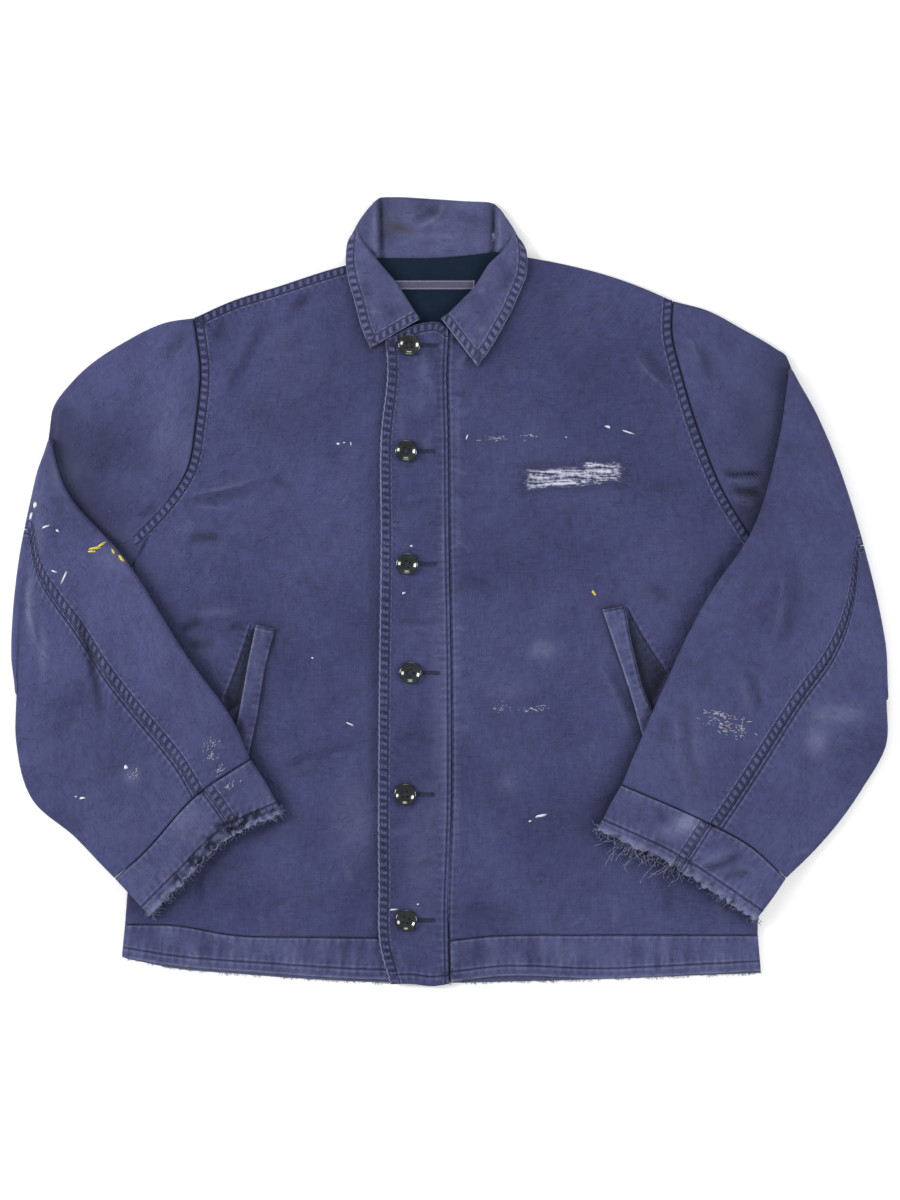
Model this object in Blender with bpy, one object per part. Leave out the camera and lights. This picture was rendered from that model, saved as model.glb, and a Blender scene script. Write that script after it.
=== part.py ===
"""A button-front utility jacket lying flat on its back, as its cut and sewn pieces.

Tables are in millimetres. +X is the jacket's own left side, +Y runs up to the collar, +Z is up, and
the floor is Z = 0. "right" and "left" in names are the wearer's, so right pieces have negative X.
Each sleeve is folded over at the elbow, so that its lower half and cuff lie on top of the front.
"""

import math

import bpy
import numpy as np

MM = 0.001

# Thicknesses and the levels that the layers lie at
WALL = 2.0
SEAM_GAP = 0.3
LINING_WALL = 1.0
TAPE_WALL = 0.8
RIM_INSET = 0.8
FRONT_LEVEL = WALL + SEAM_GAP
PLACKET_RISE = WALL + SEAM_GAP
PLACKET_SLOPE = 40.0
PLACKET_GAP = 1.0

# The collar and lining lift the fronts round the neck
NECK_CENTRE = (-18.0, 285.0)
NECK_LIFT = LINING_WALL + SEAM_GAP
NECK_FULL, NECK_FADE = 72.0, 62.0

# Sleeve tubes: two walls with a sliver of air, doubled over at the elbow
TUBE_HALF = 2.4
TUBE_AIR = 0.4
FOLD_RADIUS = 2.6
FOLD_ANGLES = (0, 36, 72, 108, 144, 180)
SLEEVE_START = 0.004
ARMHOLE_GAP = 0.5

# Divisions of a sleeve: rings up to the elbow and down from it, rings in which the fold settles,
# columns across, where the rounded edge is divided, and the width kept clear beside the long seam
UPPER_RINGS, LOWER_RINGS, SETTLE_RINGS = 7, 12, 2
TUBE_COLUMNS = 9
RIM_DIVISION = 0.3
SEAM_CLEAR = 0.03
REST_ON_BODY = 7.2
DRAPE_START, DRAPE = 20.0, 40.0

# Where a rail turns its corner, as a share of its length
UNDERARM, NECK_CORNER = 0.6, 0.85
FRONT_ROWS = np.concatenate([np.linspace(0.0, UNDERARM, 13), np.linspace(UNDERARM, 1.0, 17)[1:]])
BACK_ROWS = np.concatenate([np.linspace(0.0, UNDERARM, 6), np.linspace(UNDERARM, 1.0, 9)[1:]])
NECK_FROM, NECK_TO = 0.35, 0.68
BACK_COLUMNS = np.concatenate([np.linspace(0.0, NECK_FROM, 6), np.linspace(NECK_FROM, NECK_TO, 5)[1:],
                               np.linspace(NECK_TO, 1.0, 6)[1:]])

FRONT_COLUMNS = 16

# A band starts a seam's gap below the hem, as a share of its own depth
BAND_DEPTH = 30.0
BAND_ROWS = np.array([SEAM_GAP / BAND_DEPTH, 0.5, 1.0])

# Edges, each a smooth curve through rows of (x, y)
SIDE_RIGHT = [(-307, -313), (-304, -272), (-302, -197), (-300, -103), (-299, -27), (-299, 51)]
SIDE_LEFT = [(287, -323), (287, -272), (285, -197), (282, -103), (280, -27), (280, 51)]
ARMHOLE_RIGHT = [(-299, 51), (-272, 79), (-249, 113), (-240, 160), (-236, 205), (-242, 256)]
ARMHOLE_LEFT = [(280, 51), (255, 92), (232, 148), (216, 200), (206, 244), (207, 272)]
SHOULDER_RIGHT = [(-242, 256), (-209, 271), (-162, 286), (-119, 300), (-94, 307)]
SHOULDER_LEFT = [(64, 314), (102, 307), (139, 298), (177, 285), (207, 272)]
BACK_NECK = [(-94, 307), (-68, 309), (-18, 309), (9, 311), (38, 314), (64, 314)]
NECKLINE_RIGHT = [(-18, 244), (-38, 248), (-60, 271), (-85, 300), (-94, 307)]
NECKLINE_LEFT = [(-2, 246), (19, 262), (45, 288), (56, 303), (64, 314)]
HEM_RIGHT = [(-307, -313), (-260, -314), (-206, -323), (-128, -325), (-18, -326)]
HEM_LEFT = [(-2, -328), (25, -325), (130, -323), (218, -323), (287, -323)]
BAND_RIGHT = [(-310, -344), (-269, -351), (-175, -359), (-98, -364), (-18, -366)]
BAND_LEFT = [(-2, -367), (45, -362), (139, -364), (233, -360), (290, -357)]
BAND_BACK = [(-308, -345), (-265, -354), (-199, -360), (-63, -368), (102, -366), (290, -359)]
CENTRE_RIGHT = [(-18, -326), (-18, 244)]
PLACKET_EDGE = [(-58, -369), (-67, -337), (-69, -270), (-69, -121), (-67, 48), (-67, 144), (-61, 216),
                (-63, 235)]
PLACKET_SEAM = [(-3, -369), (-4, -309), (-1, -208), (-1, -80), (-3, 48), (-4, 161), (-5, 200), (-3, 246)]
PLACKET_TOP = [(-63, 235), (-48, 243), (-32, 250), (-8, 250), (-3, 246)]
PLACKET_END = [(-58, -369), (-37, -369), (-18, -371), (-3, -369)]

SLEEVE_RIGHT = dict(
    armhole=ARMHOLE_RIGHT,
    top_edge=[(-242, 256), (-268, 252), (-305, 235), (-356, 197), (-375, 170), (-376, 142)],
    under_edge=[(-299, 51), (-350, -20), (-407, -98)],
    fold=[(-407, -98), (-407, -40), (-400, 30), (-388, 90), (-376, 142)],
    outer_edge=[(-407, -98), (-409, -140), (-394, -196), (-353, -232), (-316, -269)],
    inner_edge=[(-376, 142), (-366, 104), (-304, 27), (-248, -61), (-202, -127), (-189, -157)],
    cuff_seam=[(-316, -269), (-293, -249), (-237, -189), (-189, -157)],
    cuff_outer=[(-316, -269), (-303, -283), (-283, -304)],
    cuff_inner=[(-189, -157), (-175, -178), (-162, -198)],
    cuff_end=[(-283, -304), (-246, -262), (-205, -222), (-162, -198)],
    seam_at=(0.64, 0.70),
)
SLEEVE_LEFT = dict(
    armhole=ARMHOLE_LEFT,
    top_edge=[(207, 272), (240, 263), (272, 246), (303, 228), (314, 220), (316, 208)],
    under_edge=[(280, 51), (340, -20), (407, -103)],
    fold=[(407, -103), (399, -40), (380, 42), (357, 115), (316, 208)],
    outer_edge=[(407, -103), (407, -145), (385, -186), (339, -245), (313, -269)],
    inner_edge=[(316, 208), (306, 140), (280, 55), (240, -5), (190, -108), (159, -181)],
    cuff_seam=[(313, -269), (280, -239), (236, -215), (159, -181)],
    cuff_outer=[(313, -269), (300, -288), (284, -309)],
    cuff_inner=[(159, -181), (147, -202), (136, -224)],
    cuff_end=[(284, -309), (257, -284), (205, -252), (136, -224)],
    seam_at=(0.45, 0.50),
)

# Pocket mouths: a welt between its inner and its outer edge, top to bottom
WELT_RIGHT = ([(-166, -36), (-175, -71), (-183, -119), (-192, -160)],
              [(-184, -32), (-191, -66), (-200, -115), (-211, -157)])
WELT_LEFT = ([(162, -14), (171, -60), (183, -101), (196, -124)],
             [(141, -18), (152, -50), (170, -105), (181, -145)])

# Broad folds of the fronts: from (x, y) to (x, y), half width, height
FRONT_FOLDS = [
    (-206, 258, -205, 190, 26, 1.4),
    (-132, 285, -198, 180, 30, 1.5),
    (-262, 84, -172, 106, 22, 1.6),
    (-255, -20, -200, -30, 22, 1.2),
    (-120, 30, -150, -230, 45, 1.0),
    (-262, -300, -262, -215, 22, 1.3),
    (-205, -305, -208, -190, 24, 1.2),
    (-150, -310, -146, -215, 22, 1.4),
    (-100, -310, -104, -200, 20, 1.2),
    (165, 230, 212, 178, 26, 1.7),
    (70, 240, 120, 60, 40, 1.1),
    (90, 20, 60, -240, 45, 1.1),
    (200, 80, 120, 100, 24, 1.2),
    (60, -310, 62, -210, 22, 1.3),
    (112, -310, 108, -225, 22, 1.2),
    (165, -310, 162, -235, 20, 1.4),
    (240, -305, 244, -235, 24, 1.2),
]

# The collar, from the right front end round the back to the left front end: the neck seam, the roll
# line, the free edge, the heights of those three, and how the free edge lies to the roll, in
# degrees: 90 is over it, 0 is beside it and -90 is under it
COLLAR = [
    # seam x, y, roll x, y, edge x, y, seam z, roll z, edge z, turn
    (-36, 251, -31, 254, -77, 227, 4.7, 7.0, 7.5, 90),
    (-46, 262, -42, 272, -86, 249, 4.7, 7.0, 7.5, 90),
    (-57, 275, -53, 289, -91, 270, 4.7, 7.0, 7.5, 90),
    (-68, 288, -66, 304, -97, 289, 4.7, 7.0, 7.4, 90),
    (-80, 302, -77, 317, -100, 307, 4.7, 6.9, 7.2, 90),
    (-88, 308, -86, 330, -99, 325, 4.4, 6.2, 6.2, 62),
    (-85, 311, -90, 340, -95, 332, 3.6, 5.2, 4.6, 5),
    (-77, 312, -81, 355, -85, 332, 2.8, 3.5, 2.5, -60),
    (-68, 312, -68, 369, -69, 323, 2.3, 2.2, 1.0, -90),
    (-46, 312, -46, 369, -46, 323, 2.3, 2.2, 1.0, -90),
    (-18, 312, -18, 367, -18, 323, 2.3, 2.2, 1.0, -90),
    (9, 314, 9, 365, 9, 325, 2.3, 2.2, 1.0, -90),
    (38, 317, 39, 364, 39, 328, 2.3, 2.2, 1.0, -90),
    (47, 318, 50, 350, 53, 330, 2.8, 3.5, 2.5, -60),
    (55, 318, 58, 337, 63, 329, 3.6, 5.2, 4.6, 5),
    (58, 314, 56, 328, 70, 320, 4.4, 6.2, 6.2, 62),
    (53, 304, 47, 317, 71, 309, 4.7, 6.9, 7.2, 90),
    (42, 291, 35, 306, 70, 295, 4.7, 7.0, 7.4, 90),
    (26, 275, 21, 283, 56, 262, 5.6, 8.1, 8.1, 90),
    (5, 256, -3, 259, 37, 228, 7.0, 9.4, 8.2, 90),
    (-5, 252, -10, 254, 24, 210, 7.0, 9.4, 8.6, 90),
]
ROLL_RADIUS = 1.2
STAND_STEPS = (0.0, 0.2, 0.5, 0.8)
LEAF_STEPS = (0.3, 0.65, 1.0)

# What shows in the neck opening
LINING_EDGES = ([(-79, 306), (-68, 283), (-54, 262), (-40, 240)], [(45, 309), (34, 285), (17, 264), (4, 243)])
LINING_TOP = [(-79, 306), (-18, 307), (45, 309)]
LINING_FOOT = [(-40, 240), (-18, 238), (4, 243)]
TAPE_SPAN, TAPE_EDGES = (-56.0, 22.0), (282.5, 291.5)

# Buttons: centres, then the turned profile's radii and heights, and four sewing holes
BUTTON_PLACES = [(-40, 230), (-43, 131), (-42, 25), (-39, -77), (-44, -191), (-43, -309)]
BUTTON_PROFILE = [(0.0, 1.4), (6.2, 1.5), (8.2, 2.9), (9.6, 3.1), (10.4, 2.0), (7.6, 0.0), (0.0, 0.0)]
BUTTON_SIDES = 14
HOLE_OFFSET, HOLE_RADIUS, HOLE_SIDES = 2.1, 1.0, 5
HOLE_DEPTH = 8.0

FADED = (0.080, 0.085, 0.190)
WORN_EDGE = (0.095, 0.100, 0.205)
NAVY_LINING = (0.012, 0.022, 0.045)
TAPE_COLOUR = (0.055, 0.055, 0.110)
BUTTON_COLOUR = (0.012, 0.018, 0.016)


def ease(x):
    x = np.clip(x, 0.0, 1.0)
    return x * x * (3 - 2 * x)


def along(table, shares):
    """Points at these shares of the length of the smooth curve through a table's rows."""
    rows = np.array(table, float)
    steps = np.linalg.norm(np.diff(rows, axis=0), axis=1)
    knots = np.concatenate([[0.0], np.cumsum(steps)]) / steps.sum()
    slopes = np.gradient(rows, knots, axis=0)
    shares = np.atleast_1d(np.asarray(shares, float))
    i = np.clip(np.searchsorted(knots, shares, side="right") - 1, 0, len(rows) - 2)
    span = (knots[i + 1] - knots[i])[:, None]
    t = ((shares - knots[i]) / span[:, 0])[:, None]
    start = (1 + 2 * t) * (1 - t) ** 2 * rows[i] + t * (1 - t) ** 2 * span * slopes[i]
    return start + t * t * (3 - 2 * t) * rows[i + 1] - t * t * (1 - t) * span * slopes[i + 1]


def edge(*tables, corners=()):
    """An edge as a function of its share, made of smooth curves that meet at the corners' shares."""
    bounds = [0.0, *corners, 1.0]

    def place(shares):
        shares = np.atleast_1d(np.asarray(shares, float))
        points = np.zeros((len(shares), 2))
        for table, low, high in zip(tables, bounds, bounds[1:]):
            here = (shares >= low) & (shares <= high)
            points[here] = along(table, (shares[here] - low) / (high - low))
        return points

    return place


def patch(across, up, low, high, left, right):
    """A grid of (x, y), one row for each share in up, that fills the space between four edges."""
    u, v = across[None, :, None], up[:, None, None]
    low_row, high_row = low(across)[None], high(across)[None]
    left_side, right_side = left(up)[:, None], right(up)[:, None]
    corners = (1 - v) * ((1 - u) * low_row[:, :1] + u * low_row[:, -1:])
    corners = corners + v * ((1 - u) * high_row[:, :1] + u * high_row[:, -1:])
    return (1 - v) * low_row + v * high_row + (1 - u) * left_side + u * right_side - corners


def raised(plan, height):
    return np.dstack([plan, np.broadcast_to(height, plan.shape[:2])])


def cloth_colour(name, colour, roughness=0.85):
    material = bpy.data.materials.new(name)
    material.use_nodes = True
    shader = material.node_tree.nodes["Principled BSDF"]
    shader.inputs["Base Color"].default_value = (*colour, 1.0)
    shader.inputs["Roughness"].default_value = roughness
    shader.inputs["Metallic"].default_value = 0.0
    return material


def add_mesh(name, points, faces, material):
    mesh = bpy.data.meshes.new(name)
    mesh.from_pydata([tuple(point * MM) for point in points], [], faces)
    mesh.materials.append(material)
    mesh.shade_smooth()
    mesh.set_sharp_from_angle(angle=math.radians(50))
    obj = bpy.data.objects.new(name, mesh)
    bpy.context.collection.objects.link(obj)
    return obj


def signed_volume(points, faces):
    total = 0.0
    for face in faces:
        a = points[face[0]]
        for second, third in zip(face[1:], face[2:]):
            total += np.dot(a, np.cross(points[second], points[third]))
    return total


def wall(name, outer, inner, material):
    """One closed wall between two grids of the same shape."""
    rows, columns = outer.shape[:2]
    size = rows * columns
    points = np.concatenate([outer.reshape(-1, 3), inner.reshape(-1, 3)])
    points[:, 2] = np.maximum(points[:, 2], 0.0)
    index = np.arange(size).reshape(rows, columns)
    faces = []
    for r in range(rows - 1):
        for c in range(columns - 1):
            corners = (index[r, c], index[r, c + 1], index[r + 1, c + 1], index[r + 1, c])
            for shift, turn in ((0, 1), (size, -1)):
                a, b, d, e = (corner + shift for corner in corners)
                crease_up = points[a, 2] + points[d, 2] > points[b, 2] + points[e, 2]
                halves = ((a, b, d), (a, d, e)) if crease_up else ((a, b, e), (b, d, e))
                faces += [half[::turn] for half in halves]
    rim = [*index[0, :], *index[1:, -1], *index[-1, -2::-1], *index[-2:0:-1, 0]]
    for a, b in zip(rim, rim[1:] + rim[:1]):
        faces.append((b, a, a + size, b + size))
    if signed_volume(points, faces) < 0:
        faces = [face[::-1] for face in faces]
    return add_mesh(name, points, [tuple(int(i) for i in face) for face in faces], material)


def pulled_in(grid, inset):
    """The grid with its rim drawn inwards, so that a wall's upper edges are rounded off."""
    result = grid.copy()
    for axis in (0, 1):
        lines = np.moveaxis(result, axis, 0)
        for rim, inner in ((0, 1), (-1, -2)):
            step = lines[inner] - lines[rim]
            length = np.linalg.norm(step, axis=-1, keepdims=True)
            lines[rim] += step * np.minimum(inset / length, 0.4)
    return result


def slab(name, plan, under, thick, material, inset=RIM_INSET):
    """A cloth piece of even thickness over a plan grid, with its underside at these heights."""
    top = pulled_in(raised(plan, under + thick), inset)
    return wall(name, top, raised(plan, under), material)


def thickened(middle, thick):
    """The two faces of a wall whose middle is this grid."""
    along_rows = np.gradient(middle, axis=0)
    along_columns = np.gradient(middle, axis=1)
    normal = np.cross(along_rows, along_columns)
    normal /= np.linalg.norm(normal, axis=-1, keepdims=True)
    return middle + normal * thick / 2, middle - normal * thick / 2


def inside_distance(plan, outline):
    """How far each point of a plan lies inside a closed outline; outside it is less than zero."""
    ends = np.roll(outline, -1, axis=0)
    run = ends - outline
    offset = plan[..., None, :] - outline
    t = np.clip((offset * run).sum(-1) / (run * run).sum(-1), 0.0, 1.0)
    away = np.linalg.norm(offset - t[..., None] * run, axis=-1).min(-1)
    straddles = (outline[:, 1] > plan[..., None, 1]) != (ends[:, 1] > plan[..., None, 1])
    rise = np.where(run[:, 1] == 0, 1.0, run[:, 1])
    crossing = outline[:, 0] + offset[..., 1] / rise * run[:, 0]
    inside = (straddles & (plan[..., None, 0] < crossing)).sum(-1) % 2 == 1
    return np.where(inside, away, -away)


def ridge(plan, x0, y0, x1, y1, half_width, height):
    """A soft fold along a straight line, fading to nothing at its sides and ends."""
    start, run = np.array([x0, y0]), np.array([x1 - x0, y1 - y0], float)
    offset = plan - start
    t = (offset @ run) / (run @ run)
    away = np.abs(offset[..., 0] * run[1] - offset[..., 1] * run[0]) / np.linalg.norm(run)
    return height * ease(1 - away / half_width) * ease(t * 4 + 0.5) * ease((1 - t) * 4 + 0.5)


def neck_lift(plan):
    away = np.linalg.norm(plan - np.array(NECK_CENTRE), axis=-1)
    return NECK_LIFT * ease((NECK_FULL + NECK_FADE - away) / NECK_FADE)


BODY_EDGES = dict(
    left=edge(SIDE_RIGHT, ARMHOLE_RIGHT, corners=(UNDERARM,)),
    right=edge(SIDE_LEFT, ARMHOLE_LEFT, corners=(UNDERARM,)),
    low=edge(HEM_RIGHT, HEM_LEFT, corners=(0.5,)),
    high=edge(SHOULDER_RIGHT, BACK_NECK, SHOULDER_LEFT, corners=(NECK_FROM, NECK_TO)),
)


def body_outline():
    shares = np.linspace(0, 1, 24, endpoint=False)
    low, right = BODY_EDGES["low"](shares), BODY_EDGES["right"](shares)
    high, left = BODY_EDGES["high"](1 - shares), BODY_EDGES["left"](1 - shares)
    return np.concatenate([low, right, high, left])


BODY_OUTLINE = body_outline()
FLAT_RIM = 16.0


def front_under(plan):
    """Height of the underside of a front: on the back, lifted round the neck and along its folds."""
    folds = sum(ridge(plan, *row) for row in FRONT_FOLDS)
    free = ease(inside_distance(plan, BODY_OUTLINE) / FLAT_RIM)
    return FRONT_LEVEL + neck_lift(plan) + folds * free


def left_front_under(plan):
    return front_under(plan) + PLACKET_RISE * ease((PLACKET_SLOPE - plan[..., 0]) / PLACKET_SLOPE)


def make_back(cloth):
    plan = patch(BACK_COLUMNS, BACK_ROWS, **BODY_EDGES)
    slab("back_panel", plan, 0.0, WALL, cloth)
    hem = BODY_EDGES["low"]
    side = [tuple(hem(0)[0]), BAND_BACK[0]]
    far_side = [tuple(hem(1)[0]), BAND_BACK[-1]]
    strip = patch(BACK_COLUMNS, BAND_ROWS, hem, edge(BAND_BACK), edge(side), edge(far_side))
    slab("waistband_back", strip, 0.0, WALL, cloth)


def make_fronts(cloth):
    across = np.linspace(0, 1, FRONT_COLUMNS)
    right = patch(across, FRONT_ROWS, edge(HEM_RIGHT), edge(SHOULDER_RIGHT),
                  BODY_EDGES["left"], edge(CENTRE_RIGHT, NECKLINE_RIGHT, corners=(NECK_CORNER,)))
    slab("front_right", right, front_under(right), WALL, cloth)
    seam = [HEM_LEFT[0]] + [(x + PLACKET_GAP, y) for x, y in PLACKET_SEAM[1:]]
    left = patch(across, FRONT_ROWS, edge(HEM_LEFT), edge(SHOULDER_LEFT),
                 edge(seam, NECKLINE_LEFT, corners=(NECK_CORNER,)), BODY_EDGES["right"])
    slab("front_left", left, left_front_under(left), WALL, cloth)


def make_bands(cloth):
    across = np.linspace(0, 1, FRONT_COLUMNS)
    for name, hem, band, under in (
        ("waistband_front_right", HEM_RIGHT, BAND_RIGHT, front_under),
        ("waistband_front_left", HEM_LEFT, BAND_LEFT, left_front_under),
    ):
        sides = [edge([hem[end], band[end]]) for end in (0, -1)]
        plan = patch(across, BAND_ROWS, edge(hem), edge(band), *sides)
        slab(name, plan, under(plan), WALL, cloth)


def make_placket(cloth):
    plan = patch(np.linspace(0, 1, 5), np.linspace(0, 1, 29), edge(PLACKET_END), edge(PLACKET_TOP),
                 edge(PLACKET_EDGE), edge(PLACKET_SEAM))
    slab("placket", plan, front_under(plan) + WALL + SEAM_GAP, WALL, cloth)


def make_welts(cloth):
    for name, (inner, outer) in (("pocket_welt_right", WELT_RIGHT), ("pocket_welt_left", WELT_LEFT)):
        sides = [edge([inner[end], outer[end]]) for end in (0, -1)]
        plan = patch(np.linspace(0, 1, 4), np.linspace(0, 1, 9), sides[0], sides[1], edge(inner), edge(outer))
        slab(name, plan, front_under(plan) + WALL + SEAM_GAP, LINING_WALL + SEAM_GAP, cloth, inset=0.5)


def make_neck(lining, tape):
    plan = patch(np.linspace(0, 1, 9), np.linspace(0, 1, 7), edge(LINING_FOOT), edge(LINING_TOP),
                 edge(LINING_EDGES[0][::-1]), edge(LINING_EDGES[1][::-1]))
    slab("neck_lining", plan, WALL + SEAM_GAP, LINING_WALL, lining, inset=0.3)
    across = np.linspace(*TAPE_SPAN, 7)
    strip = np.array([[(x, y) for x in across] for y in TAPE_EDGES])
    slab("neck_tape", strip, WALL + LINING_WALL + 2 * SEAM_GAP, TAPE_WALL, tape, inset=0.3)


def collar_section(row):
    """One cut across the collar: up the stand from the neck seam, round the roll, along the leaf."""
    seam, roll, free = (np.array(row[i:i + 2], float) for i in (0, 2, 4))
    seam_z, roll_z, edge_z, turn = row[6:]
    outward = (roll - seam) / np.linalg.norm(roll - seam) + (roll - free) / np.linalg.norm(roll - free)
    outward = np.append(outward / np.linalg.norm(outward), 0.0)
    sideways = np.array([-outward[1], outward[0], 0.0])
    if seam[0] > NECK_CENTRE[0]:
        sideways = -sideways
    angle = math.radians(turn)
    to_leaf = math.cos(angle) * sideways + math.sin(angle) * np.array([0.0, 0.0, 1.0])
    centre = np.append(roll, roll_z) - ROLL_RADIUS * outward
    stand_end, leaf_start = centre - ROLL_RADIUS * to_leaf, centre + ROLL_RADIUS * to_leaf
    foot = np.append(seam, seam_z)
    points = [foot]
    for step in STAND_STEPS[1:]:
        point = foot + (stand_end - foot) * step
        point[2] = stand_end[2]
        points.append(point)
    points += [stand_end, centre + ROLL_RADIUS * (outward - to_leaf) * math.sqrt(0.5),
               centre + ROLL_RADIUS * outward,
               centre + ROLL_RADIUS * (outward + to_leaf) * math.sqrt(0.5), leaf_start]
    tip = np.append(free, edge_z)
    points += [leaf_start + (tip - leaf_start) * step for step in LEAF_STEPS]
    return points


def make_collar(cloth):
    middle = np.array([collar_section(row) for row in COLLAR])
    outer, inner = thickened(middle, WALL)
    wall("collar", outer, inner, cloth)


def sleeve_outline(cut):
    shares = np.linspace(0, 1, 16, endpoint=False)
    parts = [along(cut["armhole"], shares), along(cut["top_edge"], shares),
             along(cut["fold"][::-1], shares), along(cut["under_edge"][::-1], shares)]
    return np.concatenate(parts)


def rest_height(plan, outline):
    """What the folded-over half of a sleeve lies on: the body, the upper sleeve, then the floor."""
    body = REST_ON_BODY * ease((inside_distance(plan, BODY_OUTLINE) + DRAPE_START) / DRAPE + 1)
    sleeve = 2 * TUBE_HALF * ease((inside_distance(plan, outline) + DRAPE_START) / DRAPE + 1)
    return np.maximum(body, sleeve)


def tube_columns(width):
    """Shares across a flattened tube, close together where its edges are round."""
    rim = TUBE_HALF / width
    inner = np.linspace(0, 1, TUBE_COLUMNS)[1:-1]
    return np.concatenate([[0.0, RIM_DIVISION * rim, rim], inner, [1 - rim, 1 - RIM_DIVISION * rim, 1.0]])


def away_from_body(row):
    """Unit directions square to a row of plan points, pointing off the jacket's middle."""
    run = np.gradient(row, axis=0)
    normal = np.stack([-run[:, 1], run[:, 0]], axis=-1) / np.linalg.norm(run, axis=-1)[:, None]
    return normal if normal[len(row) // 2, 0] * row[0, 0] > 0 else -normal


def tube_rings(cut, across):
    """The middle of the sleeve tube and its upward direction at each ring, from armhole to cuff."""
    armhole, fold, cuff = edge(cut["armhole"]), edge(cut["fold"]), edge(cut["cuff_seam"])
    upper = patch(across, np.linspace(SLEEVE_START, 1, UPPER_RINGS), armhole, fold,
                  edge(cut["under_edge"]), edge(cut["top_edge"]))
    lower = patch(across, np.linspace(0, 1, LOWER_RINGS), fold, cuff,
                  edge(cut["outer_edge"]), edge(cut["inner_edge"]))
    upper[0] += away_from_body(upper[0]) * ARMHOLE_GAP
    outward = away_from_body(lower[0])
    rings = [(raised(upper[i:i + 1], TUBE_HALF)[0], np.array([0.0, 0.0, 1.0])) for i in range(len(upper) - 1)]
    for angle in (math.radians(degrees) for degrees in FOLD_ANGLES):
        plan = lower[0] + outward * FOLD_RADIUS * math.sin(angle)
        middle = raised(plan[None], TUBE_HALF + FOLD_RADIUS * (1 - math.cos(angle)))[0]
        up = np.concatenate([-outward * math.sin(angle), np.full((len(plan), 1), math.cos(angle))], axis=1)
        rings.append((middle, up))
    height = rest_height(lower, sleeve_outline(cut)) + TUBE_HALF
    start = TUBE_HALF + 2 * FOLD_RADIUS
    height = np.maximum(height + SEAM_GAP, start * ease(1 - np.arange(LOWER_RINGS) / SETTLE_RINGS)[:, None])
    for i in range(1, len(lower)):
        rings.append((raised(lower[i:i + 1], height[i:i + 1])[0], np.array([0.0, 0.0, -1.0])))
    return rings


def tube_strip(rings, across, stations, width):
    """Outer and inner grids of the strip of tube through these stations: (share across, side)."""
    shares = np.array([share for share, _ in stations])
    sides = np.array([side for _, side in stations])
    reach = np.clip(np.minimum(shares, 1 - shares) * width / TUBE_HALF, 0.0, 1.0)
    bulge = np.maximum(np.sqrt(1 - (1 - reach) ** 2), 0.0)
    rim = WALL / width
    inner_shares = rim + shares * (1 - 2 * rim)
    outer_grid, inner_grid = [], []
    for middle, up in rings:
        up = np.broadcast_to(up, middle.shape)
        walls = ((outer_grid, shares, TUBE_HALF * bulge), (inner_grid, inner_shares, TUBE_AIR * bulge))
        for grid, at, half in walls:
            base = np.stack([np.interp(at, across, middle[:, k]) for k in range(3)], axis=-1)
            lift = np.stack([np.interp(at, across, up[:, k]) for k in range(3)], axis=-1)
            offset = np.where(bulge > 0, half, 0.0) * sides
            grid.append(base + lift * offset[:, None])
    return np.array(outer_grid), np.array(inner_grid)


def make_sleeve(side, cut, cloth):
    width = np.linalg.norm(np.array(cut["cuff_seam"][0]) - np.array(cut["cuff_seam"][-1]))
    across = tube_columns(width)
    rings = tube_rings(cut, across)
    seam = cut["seam_at"][0]
    half_gap = SEAM_GAP / 2 / width
    over = [(share, 1) for share in across if share > 0]
    round_to_seam = [(share, -1) for share in across[::-1][1:] if share > seam + SEAM_CLEAR]
    top = [(0.5 * half_gap, 1)] + over + round_to_seam + [(seam + half_gap, -1)]
    under = [(seam - half_gap, -1)] + [(share, -1) for share in across[::-1] if 0 < share < seam - SEAM_CLEAR]
    under += [(0.5 * half_gap, -1)]
    for name, stations in ((f"sleeve_{side}_top", top), (f"sleeve_{side}_under", under)):
        outer, inner = tube_strip(rings, across, stations, width)
        wall(name, outer, inner, cloth)
    make_cuff(side, cut, cloth)


def make_cuff(side, cut, cloth):
    width = np.linalg.norm(np.array(cut["cuff_seam"][0]) - np.array(cut["cuff_seam"][-1]))
    across = tube_columns(width)
    up = np.array([SEAM_GAP / 40, 0.35, 0.7, 1.0])
    plan = patch(across, up, edge(cut["cuff_seam"]), edge(cut["cuff_end"]),
                 edge(cut["cuff_outer"]), edge(cut["cuff_inner"]))
    height = rest_height(plan, sleeve_outline(cut)) + TUBE_HALF + SEAM_GAP
    rings = [(raised(plan[i:i + 1], height[i:i + 1])[0], np.array([0.0, 0.0, -1.0])) for i in range(len(up))]
    seam = cut["seam_at"][1]
    half_gap = SEAM_GAP / 2 / width
    stations = [(seam - half_gap, -1)] + [(share, -1) for share in across[::-1] if share < seam - SEAM_CLEAR]
    stations += [(share, 1) for share in across[1:]]
    stations += [(share, -1) for share in across[::-1][1:] if share > seam + SEAM_CLEAR]
    stations += [(seam + half_gap, -1)]
    outer, inner = tube_strip(rings, across, stations, width)
    wall(f"cuff_{side}", outer, inner, cloth)


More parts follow.
